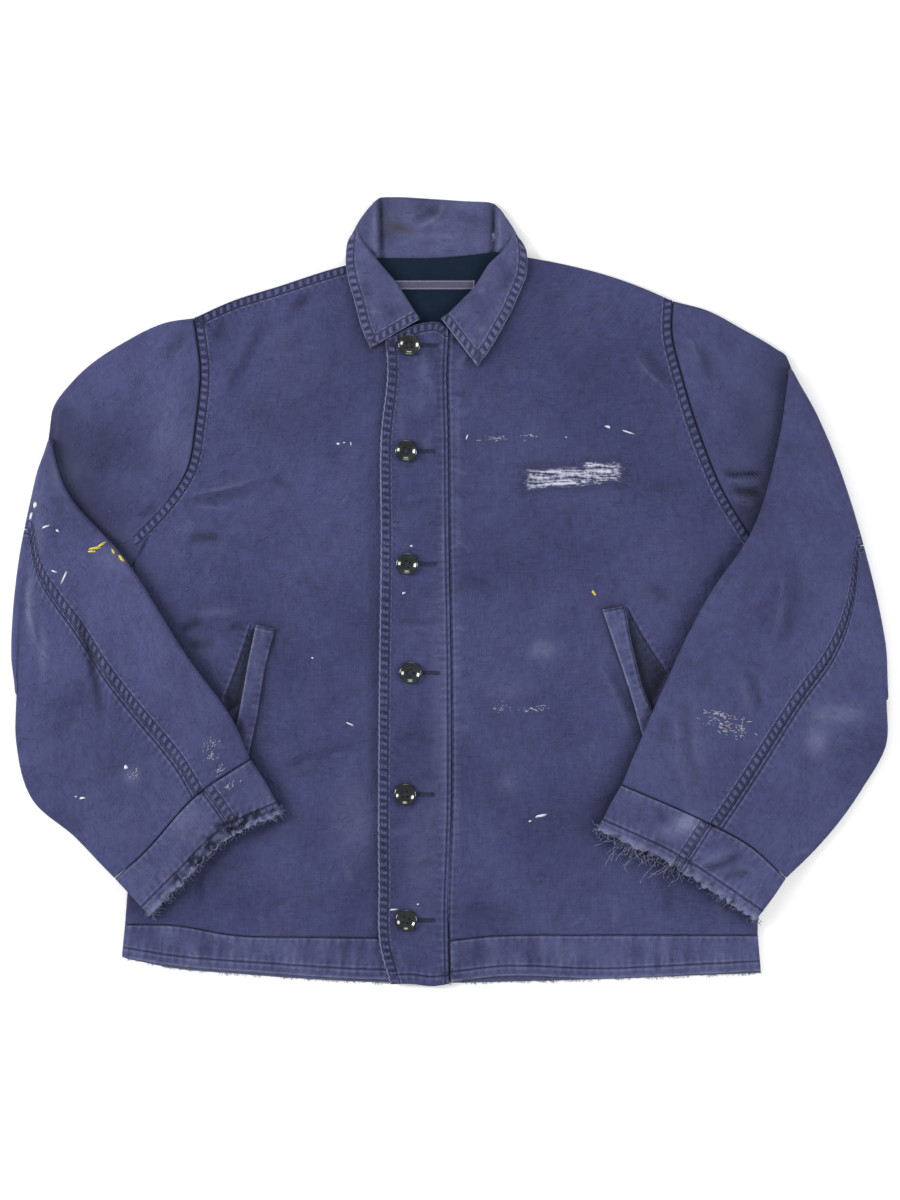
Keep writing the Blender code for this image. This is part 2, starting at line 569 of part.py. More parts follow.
def button_mesh(material):
    """A dished four-hole button, turned about its own axis with its back at Z = 0."""
    points, rings = [], []
    for radius, height in BUTTON_PROFILE:
        count = BUTTON_SIDES if radius else 1
        rings.append([len(points) + i for i in range(count)])
        for i in range(count):
            angle = 2 * math.pi * i / BUTTON_SIDES
            points.append(np.array([radius * math.cos(angle), radius * math.sin(angle), height]))
    faces = []
    for upper, lower in zip(rings, rings[1:]):
        for i in range(BUTTON_SIDES):
            j = (i + 1) % BUTTON_SIDES
            corners = [upper[i % len(upper)], lower[i % len(lower)]]
            corners += [lower[j % len(lower)], upper[j % len(upper)]]
            faces.append(tuple(dict.fromkeys(corners)))
    body = add_mesh("button_blank", points, faces, material)
    for quarter in range(4):
        angle = math.pi / 4 + quarter * math.pi / 2
        reach = HOLE_OFFSET * math.sqrt(2) * MM
        bpy.ops.mesh.primitive_cylinder_add(
            vertices=HOLE_SIDES, radius=HOLE_RADIUS * MM, depth=HOLE_DEPTH * MM,
            location=(reach * math.cos(angle), reach * math.sin(angle), MM))
        cutter = bpy.context.object
        cutter.name = f"hole_cutter_{quarter + 1}"
        cutter.hide_render = True
        cutter.display_type = "WIRE"
        cut = body.modifiers.new("sewing hole", "BOOLEAN")
        cut.object = cutter
        cut.operation = "DIFFERENCE"
    bpy.context.view_layer.update()
    graph = bpy.context.evaluated_depsgraph_get()
    mesh = bpy.data.meshes.new_from_object(body.evaluated_get(graph))
    for obj in [body] + [obj for obj in bpy.data.objects if obj.name.startswith("hole_cutter")]:
        bpy.data.objects.remove(obj)
    mesh.name = "button"
    return mesh


def make_buttons(material):
    mesh = button_mesh(material)
    for number, place in enumerate(BUTTON_PLACES, start=1):
        seat = front_under(np.array([[place]], float))[0, 0] + 2 * (WALL + SEAM_GAP)
        button = bpy.data.objects.new(f"button_{number}", mesh)
        button.location = (place[0] * MM, place[1] * MM, (seat + 0.1) * MM)
        bpy.context.collection.objects.link(button)


def main():
    for obj in list(bpy.data.objects):
        bpy.data.objects.remove(obj)
    cloth = cloth_colour("faded twill", FADED)
    worn = cloth_colour("worn twill", WORN_EDGE)
    make_back(cloth)
    make_fronts(cloth)
    make_bands(worn)
    make_placket(cloth)
    make_welts(worn)
    make_neck(cloth_colour("lining", NAVY_LINING, 0.7), cloth_colour("stay tape", TAPE_COLOUR))
    make_collar(worn)
    make_sleeve("right", SLEEVE_RIGHT, cloth)
    make_sleeve("left", SLEEVE_LEFT, cloth)
    make_buttons(cloth_colour("button", BUTTON_COLOUR, 0.25))


main()
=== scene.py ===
# %% [markdown]
# # A faded utility jacket, laid flat
#
# This lesson dresses the plain solids of a button-front jacket that lies on its back. The solids
# already have the right outline, layers and thickness. What is left is what cloth does: it creases,
# it puckers along its seams, it fades where it rubs, and its worn ends come apart into threads.
# The first cell loads the solids as a fixed frame.

import math

import bpy
import numpy as np
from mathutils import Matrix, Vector


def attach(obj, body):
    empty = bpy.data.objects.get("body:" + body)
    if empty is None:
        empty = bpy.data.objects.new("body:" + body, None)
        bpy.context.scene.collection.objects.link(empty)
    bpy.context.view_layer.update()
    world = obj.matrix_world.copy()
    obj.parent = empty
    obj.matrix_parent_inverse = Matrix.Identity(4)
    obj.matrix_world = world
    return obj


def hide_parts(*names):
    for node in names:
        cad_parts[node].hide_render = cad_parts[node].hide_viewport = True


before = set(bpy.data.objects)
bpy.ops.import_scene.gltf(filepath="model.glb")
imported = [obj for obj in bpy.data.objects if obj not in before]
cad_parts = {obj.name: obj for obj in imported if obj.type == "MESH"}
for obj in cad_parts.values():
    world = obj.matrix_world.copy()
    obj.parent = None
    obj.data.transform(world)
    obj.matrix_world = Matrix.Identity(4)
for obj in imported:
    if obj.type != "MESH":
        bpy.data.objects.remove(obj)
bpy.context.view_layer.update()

# %% [markdown]
# ## The pattern
#
# A pattern cutter works from edges. Every edge here is a short table of places in millimetres, and
# a smooth curve runs through them. +X is the jacket's own left side, +Y runs up to the collar, and
# "right" and "left" are the wearer's. The thicknesses say how the layers lie on each other.

# %% Thicknesses and edges
MM = 0.001
UP = np.array([0.0, 0.0, 1.0])

WALL = 2.0
SEAM_GAP = 0.3
LINING_WALL, TAPE_WALL, WELT_WALL = 1.0, 0.8, 1.3
LAYER = WALL + SEAM_GAP
PLACKET_SLOPE, PLACKET_GAP = 40.0, 0.4
NECK_CENTRE = (-18.0, 285.0)
NECK_LIFT, NECK_FULL, NECK_FADE = 1.3, 72.0, 62.0
FLAT_RIM = 16.0

UNDERARM, NECK_CORNER = 0.6, 0.85
NECK_FROM, NECK_TO = 0.35, 0.68

SIDE_RIGHT = [(-307, -313), (-304, -272), (-302, -197), (-300, -103), (-299, -27), (-299, 51)]
SIDE_LEFT = [(287, -323), (287, -272), (285, -197), (282, -103), (280, -27), (280, 51)]
ARMHOLE_RIGHT = [(-299, 51), (-272, 79), (-249, 113), (-240, 160), (-236, 205), (-242, 256)]
ARMHOLE_LEFT = [(280, 51), (255, 92), (232, 148), (216, 200), (206, 244), (207, 272)]
SHOULDER_RIGHT = [(-242, 256), (-209, 271), (-162, 286), (-119, 300), (-94, 307)]
SHOULDER_LEFT = [(64, 314), (102, 307), (139, 298), (177, 285), (207, 272)]
BACK_NECK = [(-94, 307), (-68, 309), (-18, 309), (9, 311), (38, 314), (64, 314)]
NECKLINE_RIGHT = [(-18, 244), (-38, 248), (-60, 271), (-85, 300), (-94, 307)]
NECKLINE_LEFT = [(-2, 246), (19, 262), (45, 288), (56, 303), (64, 314)]
HEM_RIGHT = [(-307, -313), (-260, -314), (-206, -323), (-128, -325), (-18, -326)]
HEM_LEFT = [(-2, -328), (25, -325), (130, -323), (218, -323), (287, -323)]
BAND_RIGHT = [(-310, -344), (-269, -351), (-175, -359), (-98, -364), (-18, -366)]
BAND_LEFT = [(-2, -367), (45, -362), (139, -364), (233, -360), (290, -357)]
BAND_BACK = [(-308, -345), (-265, -354), (-199, -360), (-63, -368), (102, -366), (290, -359)]
CENTRE_RIGHT = [(-18, -326), (-18, 244)]
PLACKET_EDGE = [(-58, -369), (-67, -337), (-69, -270), (-69, -121), (-67, 48), (-67, 144), (-61, 216),
                (-63, 235)]
PLACKET_SEAM = [(-3, -369), (-4, -309), (-1, -208), (-1, -80), (-3, 48), (-4, 161), (-5, 200),
                (-3, 246)]
PLACKET_TOP = [(-63, 235), (-48, 243), (-32, 250), (-8, 250), (-3, 246)]
PLACKET_END = [(-58, -369), (-37, -369), (-18, -371), (-3, -369)]
WELT_RIGHT = ([(-166, -36), (-175, -71), (-183, -119), (-192, -160)],
              [(-184, -32), (-191, -66), (-200, -115), (-211, -157)])
WELT_LEFT = ([(162, -14), (171, -60), (183, -101), (196, -124)],
             [(141, -18), (152, -50), (170, -105), (181, -145)])
LINING_EDGES = ([(-80, 311), (-68, 283), (-54, 262), (-40, 240)],
                [(50, 320), (34, 285), (17, 264), (4, 243)])
LINING_TOP = [(-80, 311), (-68, 312), (-18, 312), (9, 314), (38, 318), (50, 320)]
LINING_FOOT = [(-40, 240), (-18, 238), (4, 243)]
TAPE_SPAN, TAPE_EDGES = (-56.0, 22.0), (282.5, 291.5)

# %% [markdown]
# The sleeves are tubes pressed flat. Each is folded over at the elbow, so its lower half lies back
# across the front. Seen from above, a sleeve's upper half shows its top and its lower half shows
# what was underneath.

# %% The sleeves' edges
TUBE_HALF, LOWER_HALF = 2.4, 3.1
FOLD_RADIUS = 3.3
SLEEVE_START, ARMHOLE_GAP = 0.0005, 0.15
REST_ON_BODY = 7.2
DRAPE_START, DRAPE = 20.0, 40.0

SLEEVE_RIGHT = dict(
    armhole=ARMHOLE_RIGHT,
    top_edge=[(-242, 256), (-268, 252), (-305, 235), (-356, 197), (-375, 170), (-376, 142)],
    under_edge=[(-299, 51), (-306, 12), (-345, -42), (-407, -98)],
    fold=[(-407, -98), (-407, -40), (-400, 30), (-388, 90), (-376, 142)],
    outer_edge=[(-407, -98), (-409, -140), (-394, -196), (-353, -232), (-316, -269)],
    inner_edge=[(-376, 142), (-366, 104), (-304, 27), (-248, -61), (-202, -127), (-189, -157)],
    cuff_seam=[(-316, -269), (-293, -249), (-237, -189), (-189, -157)],
    cuff_outer=[(-316, -269), (-303, -283), (-283, -304)],
    cuff_inner=[(-189, -157), (-174, -180), (-159, -208)],
    cuff_end=[(-283, -305), (-250, -272), (-210, -233), (-159, -208)],
    seam_at=(0.64, 0.70),
)
SLEEVE_LEFT = dict(
    armhole=ARMHOLE_LEFT,
    top_edge=[(207, 272), (240, 263), (272, 246), (303, 228), (314, 220), (316, 208)],
    under_edge=[(280, 51), (340, -20), (407, -103)],
    fold=[(407, -103), (399, -40), (380, 42), (357, 115), (316, 208)],
    outer_edge=[(407, -103), (407, -145), (385, -186), (339, -245), (313, -269)],
    inner_edge=[(316, 208), (306, 140), (280, 55), (240, -5), (190, -108), (159, -181)],
    cuff_seam=[(313, -269), (280, -239), (236, -215), (159, -181)],
    cuff_outer=[(313, -269), (300, -288), (284, -309)],
    cuff_inner=[(159, -181), (147, -202), (136, -224)],
    cuff_end=[(284, -310), (256, -291), (207, -260), (135, -227)],
    seam_at=(0.45, 0.50),
)

# %% [markdown]
# ## Drawing with curves
#
# A cloth piece is a grid of points between four edges. Working with whole grids in NumPy keeps the
# code short: one line moves every point. A finer grid than the solids have leaves room for creases.

# %% Curves, patches and distances
def ease(x):
    x = np.clip(x, 0.0, 1.0)
    return x * x * (3 - 2 * x)


def along(table, shares):
    """Points at these shares of the length of the smooth curve through a table's rows."""
    rows = np.array(table, float)
    steps = np.linalg.norm(np.diff(rows[:, :2], axis=0), axis=1)
    knots = np.concatenate([[0.0], np.cumsum(steps)]) / steps.sum()
    slopes = np.gradient(rows, knots, axis=0)
    shares = np.atleast_1d(np.asarray(shares, float))
    i = np.clip(np.searchsorted(knots, shares, side="right") - 1, 0, len(rows) - 2)
    span = (knots[i + 1] - knots[i])[:, None]
    t = ((shares - knots[i]) / span[:, 0])[:, None]
    start = (1 + 2 * t) * (1 - t) ** 2 * rows[i] + t * (1 - t) ** 2 * span * slopes[i]
    return start + t * t * (3 - 2 * t) * rows[i + 1] - t * t * (1 - t) * span * slopes[i + 1]


def edge(*tables, corners=()):
    """An edge as a function of its share, made of smooth curves that meet at the corners' shares."""
    bounds = [0.0, *corners, 1.0]

    def place(shares):
        shares = np.atleast_1d(np.asarray(shares, float))
        points = np.zeros((len(shares), 2))
        for table, low, high in zip(tables, bounds, bounds[1:]):
            here = (shares >= low) & (shares <= high)
            points[here] = along(table, (shares[here] - low) / (high - low))
        return points

    return place


def patch(across, up, low, high, left, right):
    """A grid of (x, y), one row for each share in up, that fills the space between four edges."""
    u, v = across[None, :, None], up[:, None, None]
    low_row, high_row = low(across)[None], high(across)[None]
    left_side, right_side = left(up)[:, None], right(up)[:, None]
    corners = (1 - v) * ((1 - u) * low_row[:, :1] + u * low_row[:, -1:])
    corners = corners + v * ((1 - u) * high_row[:, :1] + u * high_row[:, -1:])
    return (1 - v) * low_row + v * high_row + (1 - u) * left_side + u * right_side - corners


def ends_of(first, second):
    """The two straight edges that join the ends of two tables."""
    return [edge([first[end], second[end]]) for end in (0, -1)]


def raised(plan, height):
    """The grid of a plan, at a height in millimetres."""
    return np.dstack([plan, np.broadcast_to(height, plan.shape[:2])])


def even(count):
    return np.linspace(0.0, 1.0, count)


def inside_distance(plan, outline):
    """How far each point of a plan lies inside a closed outline; outside it is less than zero."""
    away = np.full(plan.shape[:-1], 1e9)
    inside = np.zeros(plan.shape[:-1], bool)
    for start, end in zip(outline, np.roll(outline, -1, axis=0)):
        run = end - start
        offset = plan - start
        t = np.clip((offset @ run) / (run @ run), 0.0, 1.0)
        away = np.minimum(away, np.linalg.norm(offset - t[..., None] * run, axis=-1))
        straddles = (start[1] > plan[..., 1]) != (end[1] > plan[..., 1])
        if run[1]:
            inside ^= straddles & (offset[..., 0] < offset[..., 1] / run[1] * run[0])
    return np.where(inside, away, -away)


def nearest(plan, line):
    """Signed distance from a line of points, positive on its left, and how far along it that is."""
    best = np.full(plan.shape[:-1], 1e9)
    across, run_at = best.copy(), np.zeros_like(best)
    travelled = 0.0
    for start, end in zip(line, line[1:]):
        run = end - start
        length = np.linalg.norm(run)
        offset = plan - start
        t = np.clip((offset @ run) / length ** 2, 0.0, 1.0)
        away = np.linalg.norm(offset - t[..., None] * run, axis=-1)
        side = np.where(run[0] * offset[..., 1] - run[1] * offset[..., 0] < 0, -1.0, 1.0)
        nearer = away < best
        best = np.where(nearer, away, best)
        across = np.where(nearer, away * side, across)
        run_at = np.where(nearer, travelled + t * length, run_at)
        travelled += length
    return across, run_at


def leftward(line):
    """At each point of a line, the direction to its left."""
    run = np.gradient(line, axis=0)
    return np.stack([-run[:, 1], run[:, 0]], axis=-1) / np.linalg.norm(run, axis=-1)[:, None]


def steps_along(grid, axis):
    """Distance travelled over a grid of points, from its start, along one axis."""
    steps = np.linalg.norm(np.diff(grid, axis=axis), axis=-1)
    zero = np.zeros_like(np.take(steps, [0], axis=axis))
    return np.concatenate([zero, np.cumsum(steps, axis=axis)], axis=axis)


# %% [markdown]
# ## How the layers lie
#
# The fronts lie on the back, and rise a little round the neck, where the lining and the collar are.
# A few broad folds run down from the shoulders and up from the band. The same height rule is used
# for all that lies on the fronts, so the placket, welts and buttons follow it.

# %% Heights of the fronts
FRONT_FOLDS = [
    (-206, 258, -205, 190, 26, 1.4), (-132, 285, -198, 180, 30, 1.5), (-262, 84, -172, 106, 22, 1.6),
    (-255, -20, -200, -30, 22, 1.2), (-120, 30, -150, -230, 45, 1), (-262, -300, -262, -215, 22, 1.3),
    (-205, -305, -208, -190, 24, 1.2), (-150, -310, -146, -215, 22, 1.4),
    (-100, -310, -104, -200, 20, 1.2), (165, 230, 212, 178, 26, 1.7), (70, 240, 120, 60, 40, 1.1),
    (90, 20, 60, -240, 45, 1.1), (200, 80, 120, 100, 24, 1.2), (60, -310, 62, -210, 22, 1.3),
    (112, -310, 108, -225, 22, 1.2), (165, -310, 162, -235, 20, 1.4), (240, -305, 244, -235, 24, 1.2),
]

BODY_EDGES = dict(
    left=edge(SIDE_RIGHT, ARMHOLE_RIGHT, corners=(UNDERARM,)),
    right=edge(SIDE_LEFT, ARMHOLE_LEFT, corners=(UNDERARM,)),
    low=edge(HEM_RIGHT, HEM_LEFT, corners=(0.5,)),
    high=edge(SHOULDER_RIGHT, BACK_NECK, SHOULDER_LEFT, corners=(NECK_FROM, NECK_TO)),
)
SHARES = np.linspace(0, 1, 24, endpoint=False)
ARMHOLES = {"right": ARMHOLE_RIGHT, "left": ARMHOLE_LEFT}
BODY_OUTLINE = np.concatenate([
    BODY_EDGES["low"](SHARES), BODY_EDGES["right"](SHARES),
    BODY_EDGES["high"](1 - SHARES), BODY_EDGES["left"](1 - SHARES),
])


def ridge(plan, x0, y0, x1, y1, half_width, height):
    """A soft fold along a straight line, fading to nothing at its sides and ends."""
    start, run = np.array([x0, y0]), np.array([x1 - x0, y1 - y0], float)
    offset = plan - start
    t = (offset @ run) / (run @ run)
    away = np.abs(offset[..., 0] * run[1] - offset[..., 1] * run[0]) / np.linalg.norm(run)
    return height * ease(1 - away / half_width) * ease(t * 4 + 0.5) * ease((1 - t) * 4 + 0.5)


def front_under(plan):
    """Height of the underside of a front."""
    away = np.linalg.norm(plan - np.array(NECK_CENTRE), axis=-1)
    lift = NECK_LIFT * ease((NECK_FULL + NECK_FADE - away) / NECK_FADE)
    folds = sum(ridge(plan, *row) for row in FRONT_FOLDS)
    free = ease(inside_distance(plan, BODY_OUTLINE) / FLAT_RIM)
    return LAYER + lift + folds * free


def left_front_under(plan):
    return front_under(plan) + LAYER * ease((PLACKET_SLOPE - plan[..., 0]) / PLACKET_SLOPE)


UNDERS = {"right": front_under, "left": left_front_under}


def lower_outline(cut):
    """The outline of the folded-over half of a sleeve with its cuff."""
    sides = [cut["fold"], cut["inner_edge"], cut["cuff_inner"], cut["cuff_end"][::-1],
             cut["cuff_outer"][::-1], cut["outer_edge"][::-1]]
    return np.concatenate([along(side, SHARES) for side in sides])


COVERS = [lower_outline(SLEEVE_RIGHT), lower_outline(SLEEVE_LEFT)]


def covered(plan, margin=14.0):
    """1 under a folded-over sleeve, falling to 0 at its edge."""
    return np.max([ease(inside_distance(plan, cover) / margin) for cover in COVERS], axis=0)


# %% [markdown]
# ## Creases placed one by one
#
# Worn twill keeps its creases. Each row below is one crease: a start, a middle and an end, its half
# width and its height, with troughs below zero. They are as uneven in length, depth and spacing as
# the real ones. A slow wave over the whole piece stops the cloth between them from looking ironed.

# %% Creases, as (x, y) three times, half width, height
BODY_CREASES = [
    (-225, 252, -228, 231, -230, 211, 7, 1.6), (-213, 257, -216, 245, -219, 231, 6, -1.2),
    (-173, 268, -196, 224, -226, 166, 9, 2.2), (-158, 270, -179, 231, -209, 175, 12, -1.4),
    (-138, 279, -152, 269, -165, 245, 7, 1.6), (-128, 283, -140, 271, -150, 262, 5, -1.2),
    (-252, 91, -213, 96, -172, 110, 3, 1.3), (-250, 85, -211, 88, -173, 102, 6, -1),
    (-171, 109, -159, 101, -145, 94, 3.5, -1.2), (-256, 79, -227, 78, -193, 74, 4, 0.8),
    (-252, 46, -230, 51, -211, 49, 6, -1.6), (-225, 70, -219, 63, -212, 54, 3, -0.8),
    (-259, -38, -246, -33, -230, -27, 5, -1.8), (-253, -48, -237, -51, -218, -46, 6, -1.4),
    (-212, -35, -201, -34, -190, -31, 3.5, -1.6), (-246, -26, -223, -20, -195, -22, 6, 1.2),
    (-179, -178, -126, -159, -73, -149, 8, -1.8), (-179, -167, -126, -148, -77, -138, 9, 1),
    (-171, -297, -160, -292, -149, -286, 3.5, -0.8), (-143, 20, -132, 5, -122, -5, 6, -0.7),
    (-115, 273, -109, 245, -101, 208, 8, -1), (-143, -46, -124, -93, -133, -140, 14, 0.9),
    (-75, 179, -73, -56, -75, -291, 5, -0.6), (95, 291, 99, 286, 103, 280, 2.5, 0.8),
    (83, 273, 98, 226, 102, 179, 16, 0.8), (147, 281, 165, 250, 181, 224, 7, -1.2),
    (167, 226, 188, 200, 209, 183, 3, 1.3), (177, 231, 197, 206, 214, 191, 6, -1.3),
    (180, 96, 203, 98, 226, 104, 5, -0.7), (189, 8, 196, -3, 208, -10, 5, -1),
    (109, 73, 111, 63, 114, 51, 2.5, -0.8), (10, 19, 24, 8, 39, -1, 6, -0.8),
    (138, -62, 152, -97, 171, -140, 3, 1.2), (145, -60, 160, -95, 177, -131, 6, -1.2),
    (8, -295, 36, -304, 70, -309, 9, -1.2), (108, -318, 118, -311, 127, -306, 3, 0.8),
    (94, -314, 100, -305, 107, -296, 4, -0.8), (177, -168, 163, -215, 139, -262, 12, -0.8),
    (26, -46, 64, -103, 55, -187, 20, 0.8), (229, 29, 224, -9, 207, -46, 10, -1),
    (0, 226, 6, 239, 13, 245, 4, -1.2), (3, 206, 9, 215, 17, 226, 4, 0.9),
    (-53, -27, -26, -30, -3, -24, 4, -0.8), (-55, -40, -35, -35, -6, -39, 4, 0.7),
    (-58, 85, -39, 80, -11, 87, 4, -0.7), (-60, -145, -39, -138, -6, -145, 5, -0.7),
    (-59, -253, -38, -259, -6, -251, 5, -0.7), (-25, 234, -19, 224, -15, 211, 3, -0.9),
    (-21, 236, -11, 230, -5, 221, 3, 0.8), (-56, -331, -55, -347, -49, -361, 3, -1.3),
    (-51, -333, -48, -347, -42, -358, 3.5, 0.9), (2, 214, 9, 209, 17, 207, 3, 1),
    (1, 190, 8, 184, 15, 186, 3, -0.9), (1, 172, 10, 167, 20, 170, 3.5, 0.9),
    (0, 118, 8, 111, 19, 113, 4, 1), (1, 96, 9, 92, 16, 86, 3.5, -0.9),
    (0, 46, 9, 44, 22, 36, 4, 0.9), (2, -30, 10, -36, 18, -37, 3.5, 0.8),
    (1, -122, 9, -128, 20, -126, 4, 0.8), (-26, 205, -18, 190, -14, 168, 4, 0.9),
    (-56, 190, -50, 182, -38, 184, 3.5, 0.8), (-24, 150, -14, 146, -4, 150, 3.5, 0.7),
    (-62, 60, -50, 62, -38, 56, 4, 0.7), (-30, -5, -18, -12, -6, -9, 4, 0.8),
    (-60, -232, -48, -226, -34, -229, 4, 0.7), (-30, -170, -18, -176, -6, -172, 4, -0.8),
    (-108, -250, -98, -262, -92, -281, 5, 0.8), (-240, -262, -236, -282, -238, -302, 5, -0.9),
    (-180, -300, -178, -312, -180, -322, 4, 0.9), (150, -288, 154, -302, 152, -318, 5, 0.9),
    (196, -262, 204, -284, 202, -312, 6, -1), (250, -270, 252, -290, 248, -312, 5, 0.9),
]
UPPER_CREASES = [
    (-246, 247, -258, 231, -272, 217, 6, -1.2), (-284, 231, -312, 179, -331, 151, 14, 1.2),
    (-251, 226, -260, 161, -284, 114, 16, 1.8), (-368, 179, -370, 151, -371, 128, 2.5, 0.6),
    (-274, 85, -284, 74, -295, 67, 4, -1), (221, 239, 227, 226, 234, 211, 3.5, 1.2),
    (230, 231, 239, 215, 246, 193, 6, -1.2), (250, 111, 271, 109, 295, 112, 3, -2.4),
    (254, 102, 275, 104, 293, 104, 4, 1.6), (261, 95, 278, 93, 293, 93, 3.5, -2.4),
    (259, 88, 275, 83, 290, 80, 4, 1.2), (252, 198, 266, 161, 271, 132, 18, 1.6),
]
LOWER_CREASES = [
    (-356, -6, -337, -67, -327, -131, 5, -2), (-346, -6, -324, -67, -314, -136, 7, 1.4),
    (-391, 10, -396, -16, -382, -70, 3.5, 1.2), (-384, 128, -376, 85, -368, 48, 8, 1),
    (-336, 29, -321, -9, -312, -46, 9, -0.8), (-284, -27, -256, -93, -227, -145, 16, 1.2),
    (-368, -140, -340, -187, -303, -225, 18, 1), (-237, -136, -216, -145, -199, -148, 4, 0.8),
    (305, 29, 309, -12, 295, -51, 4, 0.9), (318, 38, 321, -9, 308, -56, 6, -0.9),
    (274, -70, 284, -93, 291, -120, 4, -1.2), (267, -73, 274, -98, 280, -126, 5, 0.8),
    (222, -97, 221, -140, 236, -201, 5, -1), (212, -103, 211, -150, 226, -204, 5, 0.8),
    (196, -114, 198, -131, 199, -145, 5, -1), (313, -251, 327, -245, 341, -242, 3, 1.2),
    (327, 142, 341, 95, 351, 48, 14, 1.2), (365, -27, 374, -84, 374, -131, 16, 1),
    (296, 81, 302, 82, 308, 81, 2, 0.6), (-252, -211, -250, -229, -244, -236, 4, 0.8),
    (-201, -187, -206, -197, -211, -208, 3, 0.8), (-222, -197, -212, -194, -203, -193, 2.5, -0.6),
    (186, -199, 197, -211, 199, -225, 3.5, -1), (202, -214, 199, -221, 207, -227, 3, 1),
    (182, -244, 191, -237, 202, -236, 3, -1.2), (229, -261, 247, -258, 277, -245, 3, -1.6),
    (230, -255, 248, -248, 271, -239, 4, 1.2), (249, -268, 266, -266, 282, -261, 3.5, -1.2),
]


CREASE_DEPTH, CREASE_WIDTH = 1.4, 0.8
SHARP = 6


def crease(plan, row):
    """One crease: a rounded ridge or trough along a bent line, fading out at both ends."""
    start, middle, end = (np.array(row[i:i + 2], float) for i in (0, 2, 4))
    half_width, height = CREASE_WIDTH * row[6], row[7]
    t = even(7)[:, None]
    line = start * (1 - t) * (1 - 2 * t) + 4 * middle * t * (1 - t) + end * t * (2 * t - 1)
    reach = 3 * half_width
    low, high = line.min(0) - reach, line.max(0) + reach
    near = ((plan > low) & (plan < high)).all(-1)
    result = np.zeros(plan.shape[:-1])
    if near.any():
        across, run_at = nearest(plan[near], line)
        length = np.linalg.norm(np.diff(line, axis=0), axis=1).sum()
        fade = ease(run_at / length * 3) * ease((1 - run_at / length) * 3)
        result[near] = height * np.exp(-(across / half_width) ** 2) * fade
    return result


def wander(plan, pitch, seed, waves=7):
    """A slow, uneven wave over a plan, from -1 to 1, with bumps about one pitch apart."""
    random = np.random.default_rng(seed)
    total = np.zeros(plan.shape[:-1])
    for _ in range(waves):
        direction = random.uniform(0, 2 * math.pi)
        length = pitch * random.uniform(0.7, 1.6)
        turn = 2 * math.pi / length * np.array([math.cos(direction), math.sin(direction)])
        total += np.sin(plan @ turn + random.uniform(0, 2 * math.pi))
    return total / math.sqrt(waves) / 1.5


def creases(plan, table, widest=99):
    """All the creases of a table, or only those up to a half width."""
    return CREASE_DEPTH * sum(crease(plan, row) for row in table if row[6] <= widest)


def waves(plan, slow=0.8, quick=0.45, seed=4):
    """Slow waves, and smaller crumples between them."""
    return slow * wander(plan, 75, seed) + quick * wander(plan, 24, seed + 1)


def body_room(plan):
    """How much a front may move: nothing at its rim, and little where a sleeve lies on it."""
    return ease(inside_distance(plan, BODY_OUTLINE) / 10) * (1 - 0.8 * covered(plan))


def body_relief(plan):
    """What creases and waves add to the fronts."""
    return (creases(plan, BODY_CREASES) + waves(plan)) * body_room(plan)


# %% [markdown]
# ## Seams as numbers on the points
#
# Washed work clothes pucker along every seam: dark dents and pale ridges take turns a finger's
# breadth apart. They follow the seam, so the pattern needs to know where the seam is. Each point
# keeps its distance from the nearest seam and how far along the seam it is. The same two numbers
# shape the cloth here and colour it in the material. A felled seam is a stitched double strip; a
# line is one row of thread sunk into the cloth.

# %% Seam marks and their relief
FAR = 99.0
FELL_HALF = 4.3
ROPE_PITCH, PUCKER_PITCH = 7.0, 7.4
SLOW_DRIFT, QUICK_DRIFT = 37.0, 13.0


def blank_marks(shape):
    marks = {name: np.zeros((*shape, 3)) for name in ("felled", "stitched", "tone", "weave")}
    marks["felled"][..., 0] = FAR
    marks["stitched"][..., 0] = FAR
    return marks


def lay(marks, kind, across, run_at):
    """Keeps, at each point, the seam that lies nearest."""
    mark = marks[kind]
    nearer = np.abs(across) < np.abs(mark[..., 0])
    mark[..., 0] = np.where(nearer, across, mark[..., 0])
    mark[..., 1] = np.where(nearer, run_at, mark[..., 1])
    mark[..., 2] = np.abs(mark[..., 0])


def felled_edge(marks, plan, table, count, shift=0.0, centre=FELL_HALF):
    """A felled strip just inside the curve of a table, which is followed in this many points."""
    across, run_at = nearest(plan, along(table, even(count)))
    lay(marks, "felled", np.abs(across) - centre, run_at + shift)


def stitched_line(marks, plan, table, count, shift=0.0, move=(0.0, 0.0)):
    """One row of thread along the curve of a table, moved by a little."""
    across, run_at = nearest(plan, along(table, even(count)) + np.array(move))
    lay(marks, "stitched", across, run_at + shift)


def phase(run_at, pitch):
    """Where along one pucker a point is, in radians; two slow drifts keep the puckers uneven."""
    drift = 1.1 * np.sin(run_at / SLOW_DRIFT) + 0.7 * np.sin(run_at / QUICK_DRIFT)
    return 2 * math.pi * run_at / pitch + drift


def seam_relief(marks):
    """How far seams raise or sink the cloth."""
    across, run_at = np.abs(marks["felled"][..., 0]), marks["felled"][..., 1]
    rope = np.sin(phase(run_at, ROPE_PITCH))
    height = 0.8 * ease((FELL_HALF + 0.9 - across) / 1.8)
    height = height + 0.35 * rope * ease((FELL_HALF - across) / 2)
    height = height - 0.3 * rope * np.exp(-np.maximum(across - FELL_HALF, 0) / 5) * (across > FELL_HALF)
    across, run_at = np.abs(marks["stitched"][..., 0]), marks["stitched"][..., 1]
    pucker = np.sin(phase(run_at, PUCKER_PITCH))
    height = height - 0.6 * np.exp(-(across / 1.3) ** 2)
    return height + 0.5 * pucker * np.exp(-across / 6) * ease(across / 2)


# %% [markdown]
# ## From grid to cloth
#
# A cloth piece is a closed shell: an upper face, an under face a wall away, and a rounded rim that
# joins them. Its marks become attributes of the mesh, and the material reads those by name.

